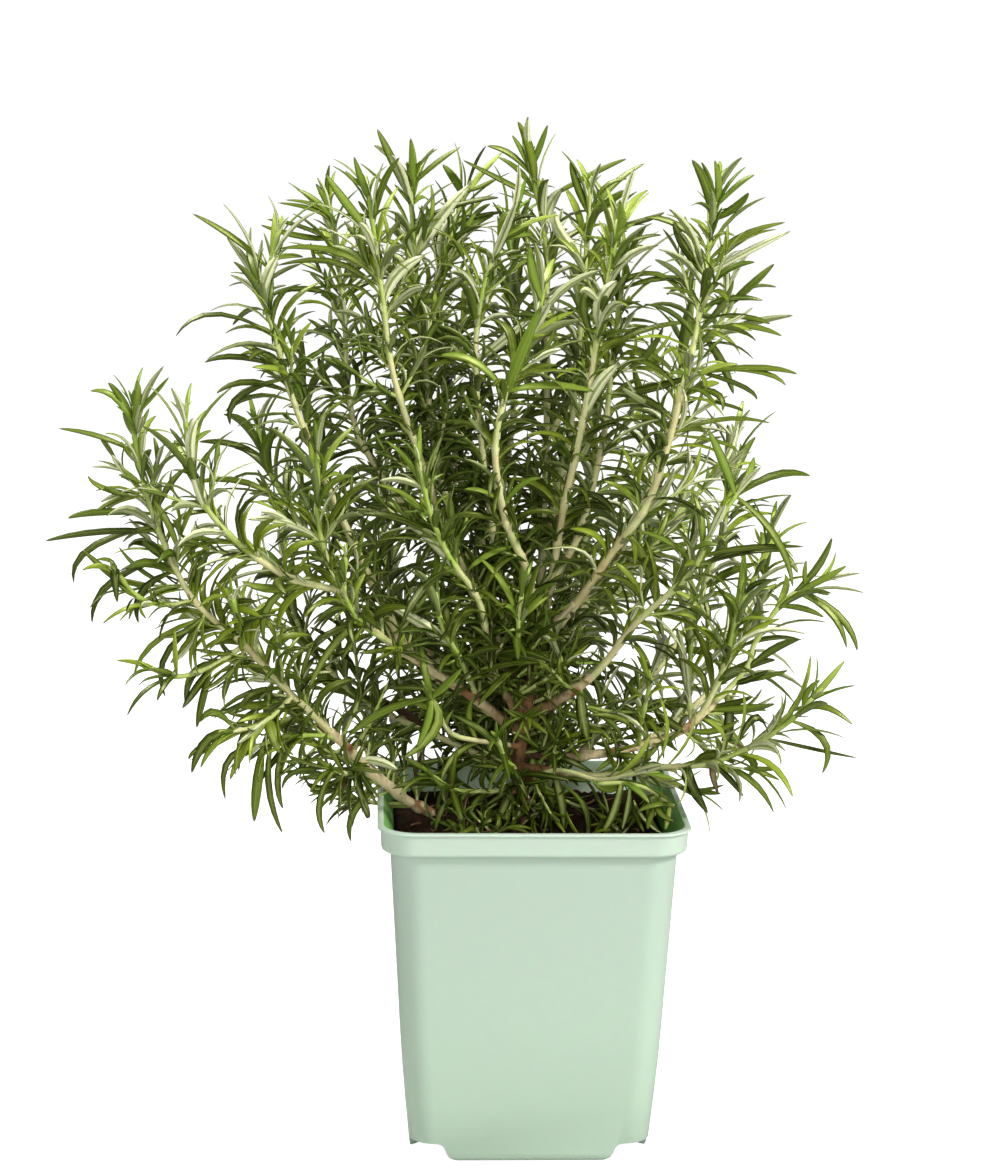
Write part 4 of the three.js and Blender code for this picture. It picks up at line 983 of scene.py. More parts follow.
# One stem with its pairs of leaves, each pair across the one below. Distances count from its tip
class Shoot(Growth):
    def __init__(self, index, name, radius, wood, points, setup):
        super().__init__(setup["seed"] * 1000 + index)
        self.index, self.name, self.wood, self.setup = index, name, wood, setup
        self.spine = Spine(points)
        self.length = self.spine.length
        self.radius = radius * stemSetup["slim"]
        self.turn = chance(index, 0, 0) * 2 * math.pi
        self.calm = name in calmShoots
        self.form = lowLeafSetup if self.calm else leafSetup
        self.full = fullness.get(name, 1.0)
        self.bare = bareFrom.get(name, setup["bareFrom"])
        self.leafyTo = leafyLength.get(name, math.inf)

    def radiusAt(self, fromBase):
        return self.radius + (stemSetup["tipRadius"] - self.radius) * fromBase / self.length

    def woodyAt(self, fromBase):
        woody = woodyTip.get(self.name, stemSetup["woodyAtTip"])
        for low, high in stemSetup["woodyFrom"]:
            woody += smooth(self.length - fromBase, low, high) * stemSetup["woodyShare"]
        return woody

    def whorlGap(self, number):
        setup = self.setup
        return min(setup["whorlStepMost"], setup["whorlStepAtTip"] + setup["whorlStepGrowth"] * number)

    def whorls(self):
        distances = []
        distance = self.setup["firstWhorl"]
        while distance < min(self.length - self.wood - self.setup["bareBase"], self.leafyTo):
            distances.append(distance)
            distance += self.whorlGap(len(distances))
        return distances

    def leafLength(self, distance):
        setup = self.setup
        return setup["shortest"] + setup["longer"] * (1 - math.exp(-distance / setup["growth"]))

    def opening(self, age, vary):
        return math.radians(self.setup["openAtTip"] + self.setup["openMore"] * age + vary)

    # one leaf of a pair, and what grows beside it: a bud, a side shoot or nothing
    def growSide(self, whorl, facing, distance, age, young):
        setup = self.setup
        root, along, across = self.spine.at(self.length - distance)
        key = whorl * 2 + facing
        side = (whorl + facing * 2) % 4
        aside = setup["aside"] * (chance(self.index, key, 4) - 0.5)
        out = turned(across, along, self.turn + (side + 1) * math.pi / 2 + aside)
        kept = self.full + setup["calmKept"]
        if self.calm and distance > setup["calmFrom"] and chance(self.index, key, 7) > kept:
            return
        length = self.leafLength(distance) * (setup["size"] + setup["sizeVary"] * chance(self.index, key, 1))
        opening = self.opening(age, setup["openVary"] * (chance(self.index, key, 2) - 0.5))
        hang = setup["hang"] + setup["hangMore"] * age * chance(self.index, key, 3)
        hang += setup["calmHang"] if self.calm else 0.0
        foot = root + out * self.radiusAt(self.length - distance) * setup["footDepth"]
        self.addLeaf(foot, along, out, length, opening, hang, young, self.form)
        beside = unit(np.cross(along, out))
        draw = self.draw()
        fresher = self.draw(setup["budFresh"], setup["budFreshVary"])
        fresher = max(young, fresher * (setup["calmBudFresh"] if self.calm else 1.0))
        # buds that would stand in front of the stem are mostly left off, so that it shows
        if distance > self.bare and out[1] < setup["frontOut"] and self.draw() < setup["bareFront"]:
            self.addSprig(foot, unit(along + out * setup["frontBudOut"]), along * 0.2, beside,
                          setup["frontBudLength"], 1 + int(draw * 2), self.draw(*setup["frontBudLeaf"]),
                          fresher, setup["frontBudOpen"])
            return
        draw /= max(self.full, 0.01)
        if distance > setup["sideFrom"] and draw < setup["sideChance"]:
            axis = unit(along + out * self.draw(*setup["sideOut"]))
            reach = setup["sideLength"] + setup["sideLengthVary"] * self.draw() * (0.5 + 0.5 * age)
            self.addSprig(foot, axis, along * 0.4 - down * 0.25, beside, reach, pairsOn(reach),
                          self.draw(*setup["sideLeaf"]), fresher, form=self.form)
        elif distance > setup["budFrom"] and draw < setup["budChance"]:
            axis = unit(along + out * self.draw(*setup["budOut"]))
            longest = self.draw(*setup["budLeaf"])
            reach = setup["budLength"] + setup["budLengthVary"] * self.draw() * age
            self.addSprig(foot, axis, along * 0.2, beside, reach, 1 + int(self.draw() * 1.4 + age), longest,
                          fresher)

    # pairs of leaves between a whorl and the next one
    def growBetween(self, whorl, distance, age, young):
        setup = self.setup
        pairs = 2 if distance > setup["twoBetweenFrom"] else 1
        if distance > setup["thickFrom"]:
            pairs += max(0, round((self.full - 1) * setup["thickShare"]))
        for step in range(pairs):
            place = distance + self.whorlGap(whorl + 1) * (step + 1) / (pairs + 1)
            if place > min(self.length - self.wood, self.leafyTo) or distance < setup["firstBetween"]:
                continue
            root, along, across = self.spine.at(self.length - place)
            for facing in range(2):
                quarters = whorl + facing * 2 + setup["betweenTurn"] + setup["betweenStep"] * step
                quarters += setup["betweenAside"] * self.draw()
                out = turned(across, along, self.turn + quarters * math.pi / 2)
                if self.draw() > self.full or (place > self.bare and out[1] < setup["frontBetween"]
                                               and self.draw() < setup["bareBetween"] * max(1.0, self.full)):
                    continue
                length = self.leafLength(place) * setup["betweenSize"]
                length *= self.draw(setup["betweenLeast"], setup["betweenVary"])
                opening = self.opening(smooth(place, 0, setup["ageLength"]),
                                       setup["betweenOpenVary"] * (self.draw() - 0.5))
                hang = setup["hang"] + setup["betweenHang"] * age * self.draw()
                self.addLeaf(root, along, out, length, opening, hang, young, self.form)

    def grow(self):
        setup = self.setup
        distances = self.whorls()
        for whorl, distance in enumerate(distances):
            age = smooth(distance, 0, setup["ageLength"])
            young = setup["fresh"] * (1 - smooth(distance, 0, setup["freshLength"]))
            young = max(freshShoots.get(self.name, 0.0), young) * (setup["calmFresh"] if self.calm else 1.0)
            for facing in range(2):
                self.growSide(whorl, facing, distance, age, young)
            self.growBetween(whorl, distance, age, young)
        tip, along, across = self.spine.at(self.length)
        self.addSprig(tip - along * setup["tipDown"], along, along, across, setup["tipLength"], 2,
                      setup["tipLeaf"], 1.0, *setup["tipOpen"])
        stem = rollTube(self.name, self.spine, max(0.0, self.wood - stemSetup["inWood"]), self.length,
                        self.radiusAt, [self.length - d for d in distances], self.woodyAt)
        joinTo(stem, self.build(self.name + "Leaves"))
        stem.name = "rosemary_" + self.name
        finishPiece(stem, "leaf", "leafy_" + self.name)
        return len(self.leaves)


total = sum(Shoot(index, *row, growthSetup).grow() for index, row in enumerate(shoots))
print("leafy stems are made:", len(shoots), "stems,", total, "leaves")


# The trunk and the bare wood of the branches, grown together
woodTubeSetup = dict(stemSetup, sides=10, ringStep=2.5)
woodSetup = {
    "voxel": 0.00055, "soften": 3, "grain": 0.006, "roughness": 0.0007,
    "firstJoint": 9.0, "jointVary": 3.0, "jointStep": 13.0,
}

trunkLengths = [(trunk, stemSetup["trunkRadius"], stemSetup["trunkTopRadius"], stemSetup["trunkFoot"], None)]
lowLengths = []
for name, radius, wood, points in shoots:
    if wood > 0:
        part = (points, radius, stemSetup["tipRadius"], 0.0, wood)
        (lowLengths if name == "low_left" else trunkLengths).append(part)


def makeWood(name, lengths, setup, *nodes):
    tubes = []
    for number, (points, baseRadius, endRadius, start, end) in enumerate(lengths):
        spine = Spine(points)
        reach = end or spine.length
        radiusAt = lambda d: baseRadius + (endRadius - baseRadius) * d / spine.length
        firstJoint = setup["firstJoint"] + setup["jointVary"] * chance(number, 1, 1)
        joints = np.arange(firstJoint, reach, setup["jointStep"])
        tubes.append(rollTube(name, spine, start, reach, radiusAt, joints, lambda d: 1.0, woodTubeSetup))
    wood = joinTo(tubes[0], tubes[1:])
    wood.name = name
    remesh = wood.modifiers.new("oneSkin", "REMESH")
    remesh.mode = "VOXEL"
    remesh.voxel_size = setup["voxel"]
    soften = wood.modifiers.new("soften", "SMOOTH")
    soften.iterations = setup["soften"]
    roughen(wood, "barkGrain", setup["grain"], setup["roughness"])
    applyAll(wood)
    bpy.ops.object.shade_smooth()
    wood.data.materials.clear()
    wood.data.materials.append(barkMaterial)
    finishPiece(wood, "bark", *nodes)


makeWood("trunkWood", trunkLengths, woodSetup, "trunk")
makeWood("lowBranchWood", lowLengths, woodSetup, "low_branch")
print("wood is made")


# Sprigs on the bare wood, over the soil and inside the bush. "front", "lowFront" and "thin" are the chances
# of leaving one off at the front, at the front of the low branch, and in the thin part at the right
dressSetup = {
    "seed": 57, "step": 6.0, "lowBranch": -20.0, "lowStep": 0.6, "from": 118.0, "frontOut": -0.2,
    "front": 0.5, "lowFront": 0.85, "lowFrontLeft": -30.0, "thin": 0.6, "thinRight": 8.0, "thinAbove": 138.0,
    "length": 9, "lengthVary": 24, "leaf": 15, "leafVary": 12, "fresh": 0.25,
    "soilCount": 20, "soilLeft": -38.0, "soilRight": 38.0, "soilFront": -34.0, "soilDepth": 40.0,
    "soilHeight": 113.0, "soilLength": 4, "soilLengthVary": 8, "soilLeaf": 18, "soilLeafVary": 12,
    "soilFresh": 0.06, "soilFreshRight": 0.35, "freshRight": 22.0, "sideLeaf": 21, "sideLeafVary": 6,
}

# side shoots where the bush is thickest: root on a stem, direction, length, pairs of leaves, and how fresh
sideShoots = [
    ((-62, 48, 151), (-0.1, -0.2, 1), 34, 7, 0.1), ((-74, 55, 162), (0.1, -0.5, 0.6), 20, 4, 0.1),
    ((-102, -26, 185), (-0.5, -0.2, -0.7), 14, 3, 0.05), ((-122, -33, 208), (-0.9, 0.1, 0.1), 14, 3, 0.1),
    ((-92, -20, 173), (-0.5, 0.2, -0.7), 16, 4, 0.05), ((18, 52, 185), (0.8, -0.2, 0.3), 18, 4, 0.15),
    ((40, 26, 155), (0.7, -0.3, 0.1), 14, 3, 0.1), ((-43, 22, 318), (0.3, -0.2, 0.9), 16, 3, 0.4),
    ((-55, -10, 310), (-0.4, 0.1, 0.8), 18, 3, 0.4), ((-69, 30, 310), (0.5, 0, 0.8), 16, 3, 0.4),
    ((-31, 42, 318), (0.4, 0, 0.8), 18, 3, 0.4), ((47, -34, 268), (-0.8, 0.3, 0.5), 12, 3, 0.3),
    ((28, 2, 280), (0.8, 0, 0.4), 12, 3, 0.3), ((54, 50, 255), (-0.6, -0.2, 0.6), 18, 4, 0.2),
    ((-51, -12, 282), (-0.6, 0.3, 0.7), 16, 4, 0.3), ((-42, 21, 300), (0.7, 0, 0.6), 16, 4, 0.3),
    ((-62, 20, 253), (0.5, 0, 0.8), 18, 4, 0.2), ((-37, 65, 275), (-0.6, -0.3, 0.6), 20, 5, 0.2),
    ((54, -32, 299), (0.8, 0.1, 0.3), 10, 3, 0.3), ((60, 52, 285), (0.7, -0.2, 0.5), 14, 3, 0.3),
    ((-136, -34, 240), (-0.9, 0, 0.1), 9, 2, 0.3), ((-116, -31, 199), (-0.4, -0.2, -0.8), 12, 3, 0.05),
]


def dressWood(name, lengths, setup):
    growth = Growth(setup["seed"])
    for points, baseRadius, endRadius, start, end in lengths:
        spine = Spine(points)
        step = setup["step"] * (1.0 if points[0][0] > setup["lowBranch"] else setup["lowStep"])
        for distance in np.arange(growth.draw(6, 6), end or spine.length, step):
            root, along, across = spine.at(distance)
            if root[2] < setup["from"]:
                continue
            front = setup["lowFront"] if root[0] < setup["lowFrontLeft"] else setup["front"]
            thin = setup["thin"] if root[0] > setup["thinRight"] and root[2] > setup["thinAbove"] else 0.0
            for side in range(2):
                out = turned(across, along, 2 * math.pi * growth.draw())
                if growth.draw() < (front if out[1] < setup["frontOut"] else thin):
                    continue
                axis = unit(out + along * 0.3 - down * 0.3 * (growth.draw() - 0.3))
                length = growth.draw(setup["length"], setup["lengthVary"])
                longest = growth.draw(setup["leaf"], setup["leafVary"])
                growth.addSprig(root, axis, -down * 0.5, along, length, pairsOn(length), longest,
                                setup["fresh"] * growth.draw() ** 3, form=lowLeafSetup)
    # small shoots out of the soil, more of them and fresher ones at the right
    for number in range(setup["soilCount"]):
        x = setup["soilLeft"] + (setup["soilRight"] - setup["soilLeft"]) * growth.draw() ** 0.8
        root = np.array([x, growth.draw(setup["soilFront"], setup["soilDepth"]), setup["soilHeight"]])
        axis = unit(np.array([1.6 * (growth.draw() - 0.5), growth.draw() - 0.7, growth.draw(0.4, 0.5)]))
        length = growth.draw(setup["soilLength"], setup["soilLengthVary"])
        fresh = setup["soilFreshRight"] if x > setup["freshRight"] else setup["soilFresh"]
        growth.addSprig(root, axis, down * 0.1, np.array([1.0, 0.0, 0.0]), length, 2,
                        growth.draw(setup["soilLeaf"], setup["soilLeafVary"]), fresh * growth.draw(),
                        75.0, 30.0, lowLeafSetup)
    for root, axis, length, pairs, young in sideShoots:
        growth.addSprig(np.array(root, float), unit(np.array(axis)), down * 0.2, np.array([0.6, 0.8, 0.0]),
                        length, pairs, growth.draw(setup["sideLeaf"], setup["sideLeafVary"]), young)
    green, *wood = growth.build(name)
    joinTo(green, wood)
    finishPiece(green, "leaf")
    print(name, len(growth.leaves), "leaves")


dressWood("woodSprigs", trunkLengths + lowLengths, dressSetup)


# Single leaves, each read off the photo. A separate program turned all but six of the readings into these
# places and put the roots on the nearest stem. A row is root x, y, z, middle x, z, tip x, z, width, a
# letter for the kind, and how far the tip stands in front of the root where it isn't as the kind has it
tracedLeaves = [
    (-96, -34, 152, -108, 147, -109, 133, 2.8, "o"), (-96, -34, 152, -98, 138, -99, 125, 4.4, "m"),
    (-93, -31, 153, -94, 136, -89, 120, 2.8, "o"), (-88, -27, 153, -91, 139, -89, 128, 2.8, "o"),
    (-71, -38, 144, -84, 144, -89, 138, 2.4, "o"), (-71, -38, 144, -76, 132, -74, 122, 2.8, "o"),
    (-71, -38, 144, -81, 147, -86, 150, 2.4, "o"), (-67, -28, 140, -77, 135, -82, 142, 3, "o"),
    (-65, -21, 139, -60, 127, -59, 123, 3, "o"), (-62, -4, 139, -55, 139, -48, 136, 3.8, "p"),
    (-53, -1, 130, -64, 120, -65, 109, 3, "m"), (-46, 35, 145, -54, 139, -58, 130, 3, "y"),
    (-39, 28, 143, -39, 131, -35, 126, 3.4, "p"), (-31, -27, 156, -31, 160, -29, 164, 1.6, "y"),
    (-20, -17, 150, -23, 159, -21, 167, 2.6, "m"), (-18, -15, 149, -28, 144, -33, 134, 3, "m"),
    (-14, 21, 142, -18, 150, -25, 157, 2.2, "m"), (-4, 8, 130, -8, 121, -12, 112, 4, "m"),
    (-4, 8, 130, -7, 120, -8, 111, 4.4, "y"), (-3, 1, 127, 1, 122, 3, 118, 2.5, "p"),
    (1, 0, 141, 1, 135, -3, 126, 4, "m"), (6, 30, 147, 12, 137, 7, 127, 3.4, "m"),
    (8, -12, 137, 11, 127, 12, 116, 4, "o"), (22, -23, 137, 27, 134, 34, 137, 4, "y"),
    (31, -35, 139, 28, 128, 24, 122, 3.8, "o"), (31, -35, 139, 36, 137, 41, 132, 3, "y"),
    (34, -36, 138, 33, 130, 31, 123, 3, "o"), (43, -39, 136, 44, 130, 49, 127, 3, "m"),
    (45, -39, 135, 41, 128, 40, 124, 2.6, "m"), (48, -40, 133, 47, 128, 46, 124, 3, "m"),
    (49, -41, 132, 43, 133, 36, 131, 3, "m"), (49, -41, 132, 50, 129, 49, 125, 2.6, "o"),
    (42, -30, 128, 46, 130, 49, 123, 2.2, "m", 3), (42, -30, 128, 44, 122, 49, 118, 2.4, "o", 3),
    (38, -32, 130, 45, 134, 50, 128, 2.2, "m", 2), (36, -30, 131, 40, 124, 47, 119, 2.6, "o", 3),
    (40, -28, 119, 36, 127, 33, 135, 2.4, "o", 3), (46, -26, 118, 42, 124, 41, 130, 2.2, "m", 3),
    (56, -32, 144, 63, 149, 71, 146, 4, "o"), (56, -32, 144, 55, 140, 62, 128, 5, "o"),
    (57, -4, 151, 67, 151, 76, 156, 3, "m"), (57, -4, 151, 51, 154, 42, 163, 4.6, "o"),
    (63, -35, 146, 69, 141, 74, 135, 2.6, "o"), (65, -2, 158, 75, 159, 85, 161, 3.4, "m"),
    (65, -36, 147, 63, 144, 65, 136, 3, "d"), (66, -1, 159, 75, 161, 81, 164, 2.8, "o"),
    (71, -39, 150, 77, 148, 75, 143, 3.6, "m"), (81, -43, 157, 96, 154, 113, 151, 2, "o"),
    (82, -43, 158, 77, 165, 71, 157, 3.4, "o"), (-116, -35, 179, -120, 179, -123, 174, 2.4, "m"),
    (-115, -30, 197, -133, 189, -141, 177, 2.8, "m"), (-115, -30, 197, -130, 184, -130, 169, 2.8, "o"),
    (-114, -34, 180, -119, 173, -124, 166, 3.4, "o"), (-114, -34, 180, -117, 169, -119, 159, 3.4, "o"),
    (-111, -32, 181, -120, 178, -123, 167, 3.4, "o"), (-106, -48, 160, -115, 157, -120, 146, 4, "o"),
    (-106, -48, 160, -117, 155, -121, 151, 2, "o"), (-105, -47, 160, -112, 167, -117, 164, 4, "m"),
    (-99, -41, 160, -105, 161, -110, 157, 2.5, "o"), (-98, -40, 160, -103, 156, -104, 145, 3, "o"),
    (-94, -35, 161, -93, 158, -90, 150, 5, "m"), (-89, -20, 169, -97, 169, -102, 166, 2.4, "m"),
    (-84, -17, 164, -97, 163, -107, 163, 4.4, "m"), (-60, -30, 196, -71, 188, -80, 172, 3.4, "m"),
    (-37, -34, 169, -53, 165, -66, 156, 4, "m"), (-37, -34, 169, -35, 159, -47, 148, 4.4, "m"),
    (-37, -34, 169, -38, 161, -42, 152, 3.4, "y"), (-37, -34, 169, -32, 174, -26, 181, 4, "y"),
    (-29, -26, 186, -38, 193, -53, 202, 4.4, "p"), (-15, 34, 196, -30, 195, -44, 192, 2.6, "m"),
    (-6, -26, 193, -8, 200, -15, 202, 3, "y"), (-6, -26, 193, -3, 200, 3, 206, 3, "y"),
    (-6, -1, 188, -19, 183, -25, 168, 3.4, "y"), (17, -15, 169, 18, 159, 20, 150, 5, "o"),
    (68, 51, 193, 77, 200, 88, 204, 4, "m"), (68, 50, 191, 70, 185, 69, 178, 3, "o"),
    (72, 1, 164, 73, 151, 69, 141, 4.5, "o"), (75, 2, 167, 86, 170, 94, 173, 2.6, "m"),
    (75, 2, 167, 80, 169, 87, 173, 3, "o"), (89, -46, 164, 101, 157, 100, 146, 3, "m"),
    (92, 11, 194, 100, 194, 108, 191, 2.8, "m"), (92, -48, 167, 100, 170, 110, 164, 3, "m"),
    (93, -48, 168, 94, 175, 98, 180, 2.6, "y"), (98, 13, 199, 107, 204, 116, 210, 3, "y"),
    (98, 13, 199, 111, 192, 117, 179, 3.4, "m"), (-145, -48, 215, -147, 220, -152, 221, 2.4, "m"),
    (-145, -48, 215, -146, 216, -145, 206, 3.8, "o"), (-134, -34, 234, -152, 235, -163, 233, 3.2, "m"),
    (-133, -34, 230, -156, 222, -161, 210, 3.4, "o"), (-132, -34, 228, -153, 228, -171, 225, 3, "o"),
    (-128, -34, 219, -149, 210, -155, 196, 3.4, "o"), (-126, -33, 214, -138, 207, -139, 196, 3.4, "o"),
    (-125, -33, 212, -135, 217, -143, 215, 4.4, "m"), (-114, -48, 237, -117, 245, -119, 252, 4.6, "p"),
    (-89, 16, 230, -106, 239, -124, 238, 3, "m"), (-83, -39, 211, -94, 203, -95, 191, 3.4, "m"),
    (-81, -38, 210, -93, 209, -103, 212, 4, "m"), (-77, -36, 234, -73, 245, -64, 249, 3.4, "m"),
    (-75, -36, 225, -88, 232, -101, 233, 3.4, "p"), (-27, -34, 213, -35, 224, -45, 232, 5, "p"),
    (-13, -26, 238, -19, 242, -26, 243, 2.6, "y"), (-12, -25, 236, -6, 244, 1, 247, 2.6, "y"),
    (-7, -18, 221, -17, 218, -25, 212, 3, "y"), (32, -26, 227, 40, 214, 43, 199, 4.8, "m"),
    (56, -42, 221, 71, 225, 92, 226, 2.8, "o"), (76, -13, 202, 79, 207, 87, 209, 2.6, "o"),
    (94, 60, 212, 101, 205, 105, 199, 3, "m"), (100, 13, 200, 115, 190, 121, 178, 3.2, "m"),
    (102, 13, 201, 101, 206, 101, 212, 2.2, "y"), (102, 13, 201, 106, 200, 110, 199, 2.2, "m"),
    (-141, -31, 265, -144, 273, -149, 280, 3.2, "m"), (-141, -31, 267, -139, 274, -139, 281, 3, "y"),
    (-141, -31, 267, -134, 275, -128, 282, 2.8, "y"), (-140, -32, 255, -152, 261, -166, 264, 2.4, "m"),
    (-140, -32, 261, -146, 274, -155, 277, 2.8, "y"), (-136, -34, 240, -150, 243, -156, 248, 2.8, "m"),
    (-119, -48, 251, -120, 262, -117, 270, 4, "p"), (-98, 20, 247, -109, 252, -121, 253, 3, "o"),
    (-95, 19, 240, -97, 250, -92, 259, 4.8, "m"), (-89, -11, 279, -105, 273, -108, 263, 3.2, "o"),
    (-87, -10, 274, -102, 278, -113, 274, 3.2, "o"), (-12, -30, 275, -7, 290, 0, 308, 4.6, "y"),
    (-12, -30, 277, -23, 288, -35, 290, 3.5, "y"), (-12, -30, 277, 3, 280, 19, 278, 4.4, "y"),
    (17, -12, 266, 21, 277, 29, 286, 5, "p"), (21, 45, 278, 12, 288, 3, 295, 4.6, "p"),
    (27, 2, 272, 43, 276, 55, 280, 4, "o"), (28, 75, 262, 36, 266, 45, 268, 3, "m"),
    (46, -34, 263, 63, 269, 80, 268, 2.8, "m"), (46, -34, 263, 63, 261, 69, 257, 2.2, "m"),
    (49, -34, 277, 65, 274, 70, 272, 2.2, "o"), (50, -34, 279, 61, 278, 63, 272, 3.4, "o"),
    (68, -44, 243, 63, 255, 57, 267, 4.5, "y"), (68, -44, 243, 81, 251, 93, 251, 4.5, "m"),
    (68, -44, 243, 82, 229, 88, 212, 4, "m"), (-97, -12, 308, -95, 316, -91, 323, 4, "p"),
    (-95, -12, 318, -106, 328, -121, 337, 3, "m"), (-93, -12, 295, -114, 302, -127, 294, 2.8, "o"),
    (-92, -12, 291, -88, 298, -85, 305, 2.8, "y"), (-90, -11, 283, -106, 287, -117, 285, 3, "o"),
    (-90, -11, 285, -98, 289, -106, 292, 2.5, "m"), (-69, 30, 304, -85, 308, -98, 304, 3, "o"),
    (-56, -10, 314, -71, 324, -91, 325, 3.2, "m"), (-55, -10, 308, -70, 320, -92, 319, 3.5, "o"),
    (-54, -10, 306, -50, 316, -40, 323, 4.8, "p"), (-43, 22, 319, -36, 332, -23, 347, 5, "p"),
    (-33, 42, 317, -32, 327, -27, 336, 4.8, "p"), (-21, 8, 284, -12, 291, -3, 299, 4, "p"),
    (1, -25, 308, -3, 319, -4, 328, 4, "y"), (20, 30, 319, 10, 329, 8, 337, 4.8, "p"),
    (20, -12, 289, 38, 298, 56, 301, 3.4, "m"), (22, -12, 297, 22, 308, 28, 315, 5, "p"),
    (28, 2, 286, 42, 284, 51, 275, 3.4, "m"), (28, 2, 292, 43, 287, 49, 281, 3, "m"),
    (31, 0, 311, 43, 315, 57, 315, 3.4, "m"), (31, 0, 313, 32, 317, 31, 321, 2.6, "y"),
    (31, 0, 315, 45, 316, 55, 305, 3, "m"), (51, -33, 284, 74, 287, 89, 285, 3, "m"),
    (51, -33, 286, 74, 286, 85, 281, 3, "m"), (51, -33, 286, 69, 281, 75, 276, 3, "o"),
    (57, -29, 318, 49, 329, 45, 337, 4.8, "o"), (57, -29, 318, 70, 326, 86, 334, 3, "p"),
    (63, -20, 300, 75, 300, 85, 297, 2.8, "m"), (65, -18, 303, 74, 303, 81, 301, 2.6, "m"),
    (66, -17, 306, 74, 314, 82, 322, 4, "m"), (-74, 30, 336, -76, 341, -79, 346, 2.6, "y"),
    (-74, 30, 338, -75, 345, -74, 353, 2, "m"), (-73, 30, 330, -78, 336, -93, 339, 3, "m"),
    (-73, 30, 332, -79, 338, -90, 340, 2.5, "m"), (-73, 30, 332, -78, 339, -86, 344, 2.6, "y"),
    (-72, 30, 324, -83, 330, -97, 333, 2.8, "o"), (-72, 30, 326, -85, 327, -99, 331, 3, "m"),
    (-60, -6, 345, -65, 349, -68, 352, 2.6, "y"), (-59, -6, 341, -62, 348, -65, 357, 3, "y"),
    (-58, -8, 329, -67, 340, -75, 351, 4, "y"), (-58, -7, 333, -55, 347, -49, 357, 3, "m"),
    (-45, 22, 341, -51, 354, -57, 366, 4.2, "m"), (-45, 22, 343, -44, 352, -45, 363, 3.6, "y"),
    (-45, 22, 349, -53, 357, -58, 360, 2.5, "p"), (-45, 22, 345, -43, 351, -41, 355, 2.4, "m"),
    (-45, 22, 345, -37, 353, -27, 360, 3.3, "m"), (-44, 22, 333, -25, 340, -13, 342, 3, "o"),
    (-29, 42, 330, -20, 334, -10, 336, 2.5, "o"), (-25, 42, 341, -28, 347, -33, 353, 4, "y"),
    (-24, 42, 343, -19, 345, -14, 348, 2.4, "m"), (-24, 42, 343, -21, 353, -17, 360, 1.4, "o"),
    (-13, 10, 326, -12, 335, -6, 337, 4, "m"), (-10, 10, 333, -5, 336, 0, 336, 2.4, "o"),
    (-1, 36, 351, 2, 359, 5, 368, 2.8, "y"), (-1, 36, 351, -4, 358, -8, 364, 3, "y"),
    (0, 36, 349, -8, 357, -17, 360, 3, "m"), (1, 36, 345, -1, 358, -6, 369, 4.2, "m"),
    (2, 36, 341, -10, 347, -26, 355, 3, "m"), (2, 36, 339, 21, 350, 34, 356, 2.8, "m"),
    (5, 36, 328, 6, 338, 11, 345, 5, "p"), (20, 30, 333, 28, 341, 35, 345, 4, "m"),
    (21, 30, 335, 16, 346, 13, 355, 3.6, "m"), (21, 30, 337, 26, 346, 34, 349, 2.8, "m"),
    (26, -10, 320, 32, 325, 37, 327, 4, "m"), (27, -9, 328, 29, 335, 28, 343, 3.6, "y"),
    (27, -9, 326, 36, 330, 43, 331, 2.6, "m"), (28, -8, 334, 37, 336, 44, 339, 2.6, "o"),
    (58, -28, 327, 46, 336, 35, 338, 3, "m"), (58, -28, 323, 69, 332, 84, 337, 3, "m"),
    (59, -27, 337, 57, 348, 51, 358, 4.4, "m"), (59, -27, 337, 67, 342, 71, 347, 3.5, "m"),
    (60, -26, 343, 61, 349, 59, 358, 3, "y"), (60, -26, 341, 67, 349, 73, 353, 3, "y"),
]

# Kinds: how young, how pale and how far forward; "p" shows its underside to the front, "d" is dead
leafKinds = {
    "o": (0.03, 0.15, 5), "m": (0.22, 0.4, 5), "y": (0.65, 0.4, 5), "p": (0.2, 0.95, 3), "d": (0.0, 0.5, 5),
}
cornerTwig = [[22.9, -33.0, 137.7], [32.3, -35.0, 138.5], [41.0, -38.0, 136.8], [49.3, -41.0, 131.7]]
placeSetup = {
    "seed": 91, "turnVary": 0.5, "paleVary": 0.3, "width": 0.88, "twigLength": 40.0, "twigWoody": 0.2,
}


def placeLeaves(name, rows, kinds, setup):
    growth = Growth(setup["seed"])
    for x, y, z, middleX, middleZ, tipX, tipZ, width, kind, *forward in rows:
        young, pale, usual = kinds[kind]
        root = np.array([x, y, z], float)
        tip = np.array([tipX, y - (forward[0] if forward else usual), tipZ], float)
        middle = np.array([middleX, (y + tip[1]) / 2, middleZ])
        heading = unit(tip - root)
        top = squareTo(np.array([0.0, 1.0, -0.2] if kind == "p" else [0.0, -0.75, 0.65]), heading)
        top = turned(top, heading, setup["turnVary"] * (growth.draw() - 0.5))
        pale = min(1.0, pale + setup["paleVary"] * (growth.draw() - 0.5))
        bend = 2 * middle - (root + tip) / 2
        growth.leaves.append((root, bend, tip, top, width * setup["width"], young, pale, float(kind == "d")))
    twig = rollTube("cornerTwig", Spine(cornerTwig), 0.0, setup["twigLength"], lambda d: 0.9 - 0.01 * d, [],
                    lambda d: setup["twigWoody"], dict(stemSetup, sides=6, ringStep=2.0))
    finishPiece(joinTo(growth.build(name)[0], [twig]), "leaf")


placeLeaves("singleLeaves", tracedLeaves, leafKinds, placeSetup)
print("single leaves are placed:", len(tracedLeaves))


# Soil: the frame's own solid, with a crumbly surface over it

